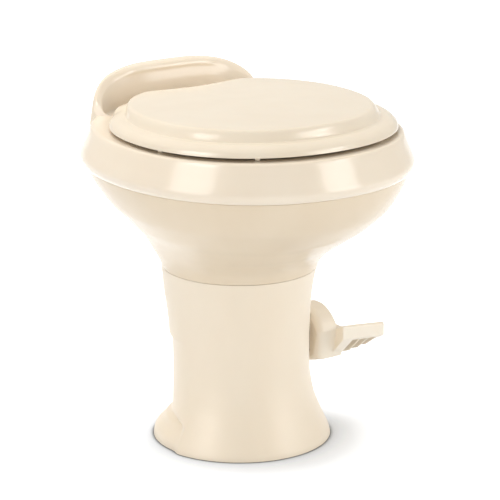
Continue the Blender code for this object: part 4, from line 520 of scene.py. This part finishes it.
# its face bends forward towards the wings, by face_bend at face_half_width
face_bend, face_half_width = 0.014, 0.104
wing_start, wing_end = 0.060, 0.115
# for each row of the ring's skin: rise and reach of the plain ring, then the hood's rise and its
# reach in the middle and in its wings
ring_rows = [
    (0.200, 0.051, 0.240, 0.070, 0.060), (0.450, 0.142, 0.459, 0.147, 0.116),
    (0.700, 0.230, 0.656, 0.219, 0.163), (0.905, 0.305, 0.809, 0.284, 0.195),
    (0.982, 0.353, 0.895, 0.347, 0.221), (1.000, 0.419, 0.968, 0.419, 0.251),
    (1.000, 0.495, 0.996, 0.498, 0.308), (1.000, 0.567, 0.998, 0.660, 0.400),
    (1.000, 0.630, 0.965, 0.802, 0.500), (1.000, 0.693, 0.915, 0.865, 0.600),
    (1.000, 0.737, 0.872, 0.851, 0.685), (1.000, 0.781, 0.780, 0.884, 0.779),
    (1.000, 0.835, 0.540, 0.956, 0.930)]
deck_reach = 0.94
# the profile's points that stay sharp: the last but one of those rows and the middle of the deck
ring_corners = {14, 17}


def ring_spot(inset, height, turn):
    flat = plan(ring_half_width - inset, ring_half_depth - inset, 0, turn)
    return Vector((flat.x, flat.y, height))


def ring_profile(turn):
    """The ring's skin from its seam up over the crest or the hood and across the deck to its lip."""
    start = plan(ring_half_width, ring_half_depth, 0, turn)
    mouth = plan(mouth_half_width, mouth_half_depth, mouth_y, turn)
    hood = 0.0
    if start.y > 0:
        fallen = min(max(abs(start.x) - hood_flat, 0.0) / hood_fall, 1.0)
        hood = (1 - fallen ** hood_power) ** (1 / hood_power)
    reach = hood ** hood_sweep
    face = start
    if hood:
        for _ in range(6):
            bend = face_bend * (abs(face.x) / face_half_width) ** 3
            face_y = ring_half_depth - hood_depth - bend
            share = (face_y - start.y) / (mouth.y - start.y)
            face = start.lerp(mouth, min(max(share, 0.0), 0.6))
    points = [ring_spot(0.005, seam_height, turn), ring_spot(0.0015, seam_height + 0.0046, turn),
              ring_spot(0, bulge_height, turn)]
    wing = ease(abs(start.x), wing_start, wing_end)
    for ring_rise, ring_reach, hood_rise, middle_reach, wing_reach in ring_rows:
        hood_reach = middle_reach + wing * (wing_reach - middle_reach)
        low = bulge_height + ring_rise * (deck_height - bulge_height)
        high = bulge_height + hood_rise * (hood_height - bulge_height)
        plain = ring_spot(ring_reach * hood_depth, low, turn)
        spot = plain.xy.lerp(start.lerp(face, hood_reach), reach)
        points.append(Vector((spot.x, spot.y, low + hood * (high - low))))
    spot = ring_spot(deck_reach * hood_depth, deck_height, turn).xy.lerp(face, reach)
    foot = Vector((spot.x, spot.y, deck_height))
    edge = Vector((mouth.x, mouth.y, deck_height))
    outward = (foot - edge).normalized()
    down = Vector((0, 0, -1))
    return points + [foot, foot.lerp(edge, 0.5), edge + outward * shell * 0.5,
                     edge + down * shell * 0.5, edge + down * lip_drop]


# the profiles stand evenly in front and closer together in the hood's wings
hood_shares = [0.992, 0.940, 0.860, 0.765, 0.700, 0.661, 0.643, 0.618, 0.587, 0.538, 0.460, 0.352,
               0.220, 0.078]
half_turns = [math.pi / 2 * (i + 0.5) / 9 for i in range(9)]
half_turns += [math.pi - math.asin(share ** (plan_power / 2)) for share in hood_shares]
coarse = half_turns + [2 * math.pi - turn for turn in reversed(half_turns)]
coarse = coarse + [coarse[0] + 2 * math.pi]
ring_turns = [a + (b - a) * i / 4 for a, b in zip(coarse, coarse[1:]) for i in range(4)]
ring_rings = []
for turn in ring_turns:
    skin = ring_profile(turn)
    inward = (skin[-1] - skin[0]).xy.normalized().to_3d()
    under = inner_skin(skin, shell, inward)
    ring_rings.append(smooth_line(skin, 4, ring_corners) + under[::-2])
# cream polypropylene from a polished mould: a soft gloss that shows broad reflections only
cream_body = moulded_polypropylene("moulded_cream_polypropylene", "F1E4D1", "EFE1CD",
                                   0.15, 2.4, 0.000008)
ring = add_piece("ring_moulding", stacked(ring_rings, closed=True), cream_body)
hinge_y, hinge_height = 0.133, 0.4245
post_x, post_hole_radius = 0.074, 0.0035
for side in (-1, 1):
    carve(ring, "DIFFERENCE", rod((side * post_x, hinge_y, 0), 2, (0.4076, 0.4220),
                                  post_hole_radius, 24))
soften(ring, 0.0009)
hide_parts("rim_shell")
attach(ring, "frame")

# The inner bowl is a separate high-gloss moulding: a smooth funnel screwed down over the valve, with
# one small hole behind for the wash nozzle.
outlet_radius = 0.033
bowl_low, bowl_high = 0.1662, 0.4113
bowl_half_width, bowl_half_depth = 0.1387, 0.1467
bowl_wall = 0.004
flange_thickness, flange_width, flange_root = 0.004, 0.025, 0.0045
screw_hole_radius, nozzle_hole_radius, nozzle_hole_depth = 0.0023, 0.0048, 0.024
# rows: share of the bowl's height, of its way out from the outlet and of its shift to the front
bowl_flare = [
    (0.000, 0.000, 0.00), (0.050, 0.015, 0.00), (0.130, 0.090, 0.02), (0.210, 0.200, 0.06),
    (0.300, 0.340, 0.12), (0.400, 0.500, 0.30), (0.520, 0.680, 0.56), (0.640, 0.820, 0.76),
    (0.770, 0.915, 0.90), (0.890, 0.975, 0.98), (0.950, 1.000, 1.00), (1.000, 1.000, 1.00)]


def bowl_spot(rise, spread, forward, turn, extra=0.0):
    half_width = outlet_radius + spread * (bowl_half_width - outlet_radius) + extra
    half_depth = outlet_radius + spread * (bowl_half_depth - outlet_radius) + extra
    centre_y = pedestal_y + forward * (mouth_y - pedestal_y)
    flat = rounded_plan(half_width, half_depth, centre_y, turn, min(spread * 1.5, 1.0))
    return Vector((flat.x, flat.y, bowl_low + rise * (bowl_high - bowl_low)))


bowl_rises = np.linspace(0, 1, 44)
bowl_rows = [(rise, *row) for rise, row in zip(bowl_rises, smooth_table(bowl_flare, bowl_rises))]
flange = flange_thickness / (bowl_high - bowl_low)
bowl_rings = []
for turn in even_turns(144):
    inside = [bowl_spot(*row, turn) for row in bowl_rows]
    outside = [bowl_spot(*row, turn, bowl_wall) for row in bowl_flare[1::2]]
    bowl_rings.append(inside + outside[::-1] + [bowl_spot(flange, 0, 0, turn, flange_root),
                                                bowl_spot(flange, 0, 0, turn, flange_width),
                                                bowl_spot(0, 0, 0, turn, flange_width)])
# polypropylene from a mirror-polished mould: clear reflections, so that waste slides off it
bowl_gloss = moulded_polypropylene("mirror_moulded_polypropylene", "F3E8D5", "F1E5D1",
                                   0.12, 3.0, 0.000006)
bowl = add_piece("bowl_moulding", stacked(bowl_rings, closed=True), bowl_gloss)
for name in ("bowl_screw_1", "bowl_screw_2", "bowl_screw_3", "bowl_screw_4"):
    low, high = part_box(name)
    carve(bowl, "DIFFERENCE", rod(((low.x + high.x) / 2, (low.y + high.y) / 2, 0), 2,
                                  (0.162, 0.174), screw_hole_radius, 16))
low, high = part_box("rim_nozzle")
carve(bowl, "DIFFERENCE", rod(((low.x + high.x) / 2, 0, (low.z + high.z) / 2), 1,
                              (high.y - nozzle_hole_depth, high.y), nozzle_hole_radius, 24))
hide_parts("inner_bowl")
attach(bowl, "frame")

# The seat is a hollow-backed ring of the lid's plastic, rounded above, that turns on two lugs
# behind. The lid's outline and lugs are made like the seat's.
lug_half_width, barrel_radius, hinge_bore_radius = 0.0035, 0.005, 0.0028


def hinge_solids(x, arm_low, arm_high, front, back):
    """One hinge lug: a round barrel on the hinge line, the square arm that carries it, its bore."""
    line_point = (0, hinge_y, hinge_height)
    ends = (x - lug_half_width, x + lug_half_width)
    corners = [(front, arm_low), (back, arm_low), (back, arm_high), (front, arm_high)]
    arm = stacked([[(end, y, z) for y, z in corners] for end in ends])
    bore_ends = (x - 2 * lug_half_width, x + 2 * lug_half_width)
    return (rod(line_point, 0, ends, barrel_radius, 40), arm,
            rod(line_point, 0, bore_ends, hinge_bore_radius, 24))


def add_lugs(piece, x, arm_low, arm_high, front, back):
    """A hinge lug on each side of the piece."""
    for side in (-1, 1):
        barrel, arm, bore = hinge_solids(side * x, arm_low, arm_high, front, back)
        carve(piece, "UNION", arm)
        carve(piece, "UNION", barrel)
        carve(piece, "DIFFERENCE", bore)


def lid_line(half_width, half_depth, centre_y, rear, height, turn):
    """The lid's plan outline, cut off softly at the back."""
    flat = plan(half_width, half_depth, centre_y, turn)
    soft = 0.005
    y = rear - soft * math.log1p(math.exp(min((rear - flat.y) / soft, 500.0)))
    return Vector((flat.x, y, height))


seat_half_width, seat_half_depth, seat_y = 0.172, 0.1679, -0.0164
hole_half_width, hole_half_depth, hole_y = 0.101, 0.118, -0.031
seat_rear = 0.1245
seat_low, seat_top = 0.418, 0.427
seat_rise = seat_top - seat_low
seat_inside = seat_top - 0.003


def seat_line(inset, height, turn):
    return lid_line(seat_half_width - inset, seat_half_depth - inset, seat_y, seat_rear - inset,
                    height, turn)


def seat_hole(extra, height, turn):
    flat = plan(hole_half_width + extra, hole_half_depth + extra, hole_y, turn)
    return Vector((flat.x, flat.y, height))


seat_rings = []
for turn in even_turns(180):
    above = [seat_line(0, seat_low, turn), seat_line(0.0006, seat_low + seat_rise * 0.35, turn),
             seat_line(0.004, seat_low + seat_rise * 0.72, turn), seat_line(0.011, seat_top, turn),
             seat_hole(0.011, seat_top, turn), seat_hole(0.004, seat_low + seat_rise * 0.78, turn),
             seat_hole(0.0006, seat_low + seat_rise * 0.4, turn), seat_hole(0, seat_low, turn)]
    below = [seat_hole(0.003, seat_low, turn), seat_hole(0.012, seat_inside, turn),
             seat_line(0.013, seat_inside, turn),
             seat_line(0.003, seat_low + seat_rise * 0.2, turn), seat_line(0.003, seat_low, turn)]
    seat_rings.append(smooth_line(above, 4, {3, 4}) + below)
# the seat and lid's plastic, from a mould with a very fine blasted grain: softer highlights; its
# colour is set a little darker than the ring's as painted shade, to temper the strong light on the
# lid
cream_lid = moulded_polypropylene("lid_cream_polypropylene_with_painted_shade", "ECE0CD", "EADDC9",
                                  0.18, 1.4, 0.000006)
seat = add_piece("seat_moulding", stacked(seat_rings, closed=True), cream_lid)
add_lugs(seat, 0.0655, 0.420, seat_top - gap, seat_rear - 0.006, hinge_y)
soften(seat, 0.0005)
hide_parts("seat")
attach(seat, "seat_assembly")

# The lid is one shallow moulded cap in two tiers: a rolled outer edge, a narrow ledge, and a raised
# plateau with a faint crown. Its back is cut off square and carries the two outer hinge lugs.
lid_edge, lid_ledge, lid_top = 0.4197, 0.4330, 0.4464
lid_wall = 0.003
crown_height = 0.0022
plateau_outline = (0.1522, 0.1510, -0.0088)
plateau_y = plateau_outline[2]
# half width, half depth, middle and back of the lower tier, and the first three of the plateau's
# side, each as its value at the foot and its change on the way up
tier_outline = ((0.1805, -0.020), (0.1764, -0.0234), (-0.0164, 0.0018), (0.141, -0.012))
side_outline = ((0.1605, -0.0083), (0.1530, -0.0020), (-0.0146, 0.0058))
# rows: how far inward and how far up the point lies on its way across the tier or the side
tier_rows = [(0.00, 0.00), (0.02, 0.16), (0.12, 0.45), (0.34, 0.74), (0.64, 0.93), (0.97, 1.00)]
side_rows = ((0.10, 0.10), (0.86, 0.88))
# rows: how far out from the middle the point lies, and its share of the crown
crown_rows = ((0.965, 0.10), (0.62, 0.62))
# the edge steps up behind to clear the seat's lugs, and the plateau's back is hollowed by a curve
edge_step, edge_step_run = 0.0106, 0.0212
back_middle, back_curve, back_half_width = 0.1145, 0.018, 0.090
# the plateau's side runs out behind its top, by 6 mm at least; neither comes too near the lugs
side_run, side_least_run, side_rear, plateau_rear = 0.0145, 0.006, 0.135, 0.129


def outline_at(outline, share):
    return [start + share * change for start, change in outline]


hub = Vector((0, plateau_y, lid_top + crown_height))
lid_rings = []
for turn in even_turns(192):
    back_y = plan(*(start for start, change in tier_outline[:3]), turn).y
    edge = lid_edge + edge_step * ease(back_y, seat_rear - edge_step_run, seat_rear)
    skin = [lid_line(*outline_at(tier_outline, across), edge + up * (lid_ledge - edge), turn)
            for across, up in tier_rows]
    rear = back_middle + back_curve * (plan(*plateau_outline, turn).x / back_half_width) ** 2
    first = min(side_run + rear, side_rear)
    for across, up in side_rows:
        back = first + across * (min(rear, first - side_least_run) - first)
        skin.append(lid_line(*outline_at(side_outline, across), back,
                             lid_ledge + up * (lid_top - lid_ledge), turn))
    corner = lid_line(*plateau_outline, min(rear, plateau_rear), lid_top, turn)
    centre = Vector((0, plateau_y, lid_top))
    for size, crown in crown_rows:
        spot = centre.lerp(corner, size)
        skin.append(Vector((spot.x, spot.y, lid_top + crown * crown_height)))
    inward = (centre.xy - skin[0].xy).normalized().to_3d()
    under = inner_skin(skin, lid_wall, inward)
    for point in under:
        point.z = max(point.z, skin[0].z)
    top_skin = smooth_line(skin, 5, {0})
    top_skin += [top_skin[-1].lerp(hub, share) for share in (0.25, 0.5, 0.75)]
    lid_rings.append([under[-1], *under[-2:2:-2], under[0]] + top_skin)
# each profile runs from the middle of the lid's underside round its edge to the middle of its top,
# and two points close the solid there
count = len(lid_rings[0])
vertices, faces = [tuple(p) for profile in lid_rings for p in profile], []
for i in range(len(lid_rings)):
    j = (i + 1) % len(lid_rings)
    faces += [(i * count + k, i * count + k + 1, j * count + k + 1, j * count + k)
              for k in range(count - 1)]
    faces.append((i * count, j * count, len(vertices) + 1))
    faces.append((i * count + count - 1, len(vertices), j * count + count - 1))
vertices += [tuple(hub), (0, plateau_y, lid_top - 0.0008)]
lid = add_piece("lid_moulding", (vertices, faces), cream_lid)
add_lugs(lid, 0.0825, hinge_height, 0.4315, 0.1285, 0.1375)
soften(lid, 0.0008, 3)
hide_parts("lid")
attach(lid, "lid_assembly")

# The foot pedal is a hollow moulding: a deep round hub on the shaft and a ribbed pad that rises
# towards its nose. Its edges are generously rounded and its tread is grained for grip.
hub_start, hub_end, hub_radius = 0.0967, 0.1267, 0.048
hub_from, hub_to = math.atan2(0.020, -0.0435), math.atan2(-0.0397, 0.027)
pad_base, pad_length = hub_end + 0.012, 0.069
pad_nose, pad_top, pad_depth = 0.0605, 0.0255, 0.0360
pedal_wall, rib = 0.004, 0.0026
# how far the hub's outline is drawn in, by its distance from the face beside the column
hub_steps = ((0, 0.0070), (0.0012, 0.0045), (0.0032, 0.0022), (0.0065, 0.0006), (0.010, 0),
             (0.030, 0))
# rows: share of the pad's length, and the shares of its nose, top and depth there
pad_rows = [(0.00, 1.00, 1.13, 1.00), (0.35, 1.00, 1.06, 0.98), (0.75, 1.00, 0.95, 0.80),
            (0.94, 0.98, 0.90, 0.66), (1.00, 0.88, 0.80, 0.60)]


def beside_shaft(points, x):
    return [(x, pedestal_y + y, shaft_height + z) for y, z in points]


def shaft_block(points, start, end):
    """A straight solid along X with this outline round the shaft."""
    return stacked([beside_shaft(points, x) for x in (start, end)])


def hub_outline(inset):
    turns = [hub_from + (hub_to - hub_from) * i / 48 for i in range(49)]
    points = [((hub_radius - inset) * math.cos(t), (hub_radius - inset) * math.sin(t))
              for t in turns]
    return points + [(-0.0365 + inset, -0.0205 + inset)]


def pad_outline(share, inset=0.0):
    """The pad's outline at a share of its length, or that of its hollow, drawn in by the inset."""
    nose_share, top_share, low_share = smooth_table(pad_rows, [share])[0]
    nose, top = pad_nose * nose_share - inset, pad_top * top_share - inset
    low = pad_depth * low_share
    if inset:
        return [(0.012 - inset, -0.035), (0.012 - inset, -0.0105 - inset), (-nose, top - 0.003),
                (-nose, -0.035)]
    return [(0.012, -max(low, 0.0145)), (0.012, -0.0105), (0.003 - nose, top),
            (-nose, top - 0.003), (-nose, top - 0.0185), (-nose * 0.55, -low * 0.5)]


# the same plastic in a thick, coarser-grained moulding, so it looks a little duller; its colour
# is lighter than the ring's as painted light, against the shade it gets beside the column
cream_pedal = moulded_polypropylene("grained_cream_polypropylene_painted_light", "F6EDDD", "F2E7D6",
                                    0.34, 1.8, 0.00010)
hub_rings = []
for x, cut in hub_steps:
    # the front of the hub is rounded fully, the rest of it by 1.5 mm at most
    outlines = zip(hub_outline(0), hub_outline(cut), hub_outline(min(cut, 0.0015)))
    hub_rings.append(beside_shaft([full if p[0] < -0.020 else slight
                                   for p, full, slight in outlines], hub_start + x))
pedal = add_piece("pedal_moulding", stacked(hub_rings), cream_pedal)
knee = [(-0.016, -0.020), (-0.0362, -0.0205), (-0.0432, 0.020), (-0.016, 0.0203)]
carve(pedal, "UNION", shaft_block(knee, hub_end - 0.002, pad_base))
pad_shares = np.linspace(0, 1, 16)
carve(pedal, "UNION", stacked([beside_shaft(pad_outline(share),
                                            hub_end - 0.004 + share * (0.004 + pad_length))
                               for share in pad_shares]))
# the hub is hollow from the column's side, up to a web inside it; the pocket before the web is open
# below
web_y = -0.0205
hollow = [(max(y, web_y), z) for y, z in hub_outline(pedal_wall)]
hollow = [p for i, p in enumerate(hollow) if p[0] > web_y or hollow[i - 1][0] > web_y
          or hollow[(i + 1) % len(hollow)][0] > web_y]
carve(pedal, "DIFFERENCE", shaft_block(hollow, hub_start - 0.004, hub_end - 0.013))
pocket = [(-0.0245, -0.060), (-0.0245, 0.034), (-0.0392, 0.0195), (-0.0322, -0.0202),
          (-0.0322, -0.060)]
carve(pedal, "DIFFERENCE", shaft_block(pocket, hub_start + 0.004, hub_end - 0.008))
# four pockets under the pad leave ribs between them
pitch = (pad_length - 0.012 - rib) / 4
for i in range(4):
    start = pad_base + rib + i * pitch
    share = min((start + pitch - hub_end) / pad_length, 1.0)
    carve(pedal, "DIFFERENCE", shaft_block(pad_outline(share, pedal_wall), start,
                                           start + pitch - rib))
# on the shaft's line: the shaft's socket, the screw's hole and the recess for its head
for start, end, radius in ((hub_start, hub_end - 0.008, 0.0073),
                           (hub_start + 0.004, hub_end, 0.0029),
                           (hub_end - 0.004, hub_end + 0.012, 0.0066)):
    carve(pedal, "DIFFERENCE", rod(shaft, 0, (start, end), radius))
skin = pedal.modifiers.new("even_skin", "REMESH")
skin.mode = "VOXEL"
skin.voxel_size = 0.0010
round_off = pedal.modifiers.new("moulded_edges", "SMOOTH")
round_off.factor = 0.5
round_off.iterations = 4
bake(pedal, 80)
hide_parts("pedal")
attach(pedal, "pedal_assembly")

# The hinge posts are moulded in the lid's plastic and clipped to the deck; the soft buffers under
# lid and seat are the same colour in a rubbery plastic.
finishes = {"hinge_post_left": cream_lid, "hinge_post_right": cream_lid}
buffer_rubber = moulded_polypropylene("soft_cream_elastomer", "F4EADA", "F0E5D2",
                                      0.50, 1.0, 0.00002)
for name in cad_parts:
    if "bumper" in name:
        finishes[name] = buffer_rubber

# The valve, its cam, the water valve and the fittings are black glass-filled nylon, moulded with a
# fine matt grain in which short fibres show as faint streaks.
nylon, tree, place = new_finish("glass_filled_black_nylon")
# streaks about 1.2 mm long and 0.3 mm apart, coarser than real fibres so that they show
drawn = node(tree, "ShaderNodeMapping", None, {0: place}, Scale=(1, 4, 1)).outputs[0]
fibre = mottle(tree, drawn, 1.2, 3.0)
relief = node(tree, "ShaderNodeBump", None, {"Height": fibre}, Strength=0.3, Distance=0.00006)
coat(tree, {"Base Color": blend(tree, fibre, "232323", "303030"), "Normal": relief.outputs[0]},
     IOR=1.53, Roughness=0.48)
for name in ("valve_housing", "valve_cam", "spring_cartridge", "water_valve", "valve_cap",
             "inlet_fitting", "vacuum_breaker", "breaker_cap", "rim_nozzle", "hinge_nut_left",
             "hinge_nut_right"):
    finishes[name] = nylon

# The flush ball, the piston, the float and the shaft's bushes are natural acetal: dense, waxy, pale
# and turned or moulded smooth, so light sinks a little way into them.
acetal = moulded_polypropylene("natural_acetal", "EFEAE0", "ECE6DB", 0.22, 1.2, 0.000006)
for name in ("flush_ball", "valve_piston", "breaker_float", "shaft_bush_inner", "shaft_bush_outer",
             "pivot_bush"):
    finishes[name] = acetal

# The seals are moulded rubber: dark, matt and faintly mottled where the release powder stays.
rubber, tree, place = new_finish("moulded_black_rubber")
powder = remap(tree, mottle(tree, place, 6, 5.0), 0.4, 0.75)
coat(tree, {"Base Color": blend(tree, powder, "2A2A29", "454441")}, IOR=1.52, Roughness=0.72)
for name in ("bowl_seal", "floor_seal"):
    finishes[name] = rubber

# The two water hoses are grey braided vinyl: the crossed threads show through the clear outer coat.
hose, tree, place = new_finish("braided_grey_vinyl")
# the two lays of thread slant by this many radians each way; at this scale the light and dark bands
# of each lay are 19 mm apart
thread_slant, thread_scale = 0.9, 1000 / 60
slants = []
for turn in (thread_slant, -thread_slant):
    leaning = node(tree, "ShaderNodeMapping", None, {0: place}, Rotation=(turn, turn, 0)).outputs[0]
    slants.append(node(tree, "ShaderNodeTexWave", {"bands_direction": "Z"}, {"Vector": leaning},
                       Scale=thread_scale, Distortion=0.3).outputs[1])
crossed = combine(tree, "MAXIMUM", *slants)
relief = node(tree, "ShaderNodeBump", None, {"Height": crossed}, Strength=0.3, Distance=0.0002)
coat(tree, {"Base Color": blend(tree, crossed, "8E8F8C", "B9B9B4"), "Normal": relief.outputs[0]},
     IOR=1.53, Roughness=0.34)
for name in ("supply_hose", "wash_hose"):
    finishes[name] = hose


# Screws, clamps and hinge pins are zinc-plated steel; the shaft, its pin, the plunger and the spring
# are bare steel, turned or drawn, with fine marks along the tool's path.
def worked_steel(name, light, dark, roughness, mark_mm, stretch):
    """Steel whose tool marks change its gloss and tint a little."""
    finish, tree, place = new_finish(name)
    drawn = node(tree, "ShaderNodeMapping", None, {0: place}, Scale=stretch).outputs[0]
    marks = mottle(tree, drawn, mark_mm, 4.0)
    gloss = remap(tree, marks, 0.3, 0.7, roughness - 0.06, roughness + 0.08)
    coat(tree, {"Base Color": blend(tree, marks, dark, light), "Roughness": gloss}, Metallic=1.0)
    return finish


zinc = worked_steel("zinc_plated_steel", "D2D1CB", "B4B3AC", 0.34, 2.0, (1, 1, 1))
turned = worked_steel("turned_steel", "C9C8C4", "A9A8A4", 0.26, 0.8, (8, 1, 1))
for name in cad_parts:
    if name.startswith(("bowl_screw", "hose_clamp", "hinge_pin")) or name == "pedal_screw":
        finishes[name] = zinc
for name in ("drive_shaft", "pivot_pin", "valve_plunger", "return_spring"):
    finishes[name] = turned
for name, finish in finishes.items():
    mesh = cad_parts[name].data
    mesh.materials.clear()
    mesh.materials.append(finish)
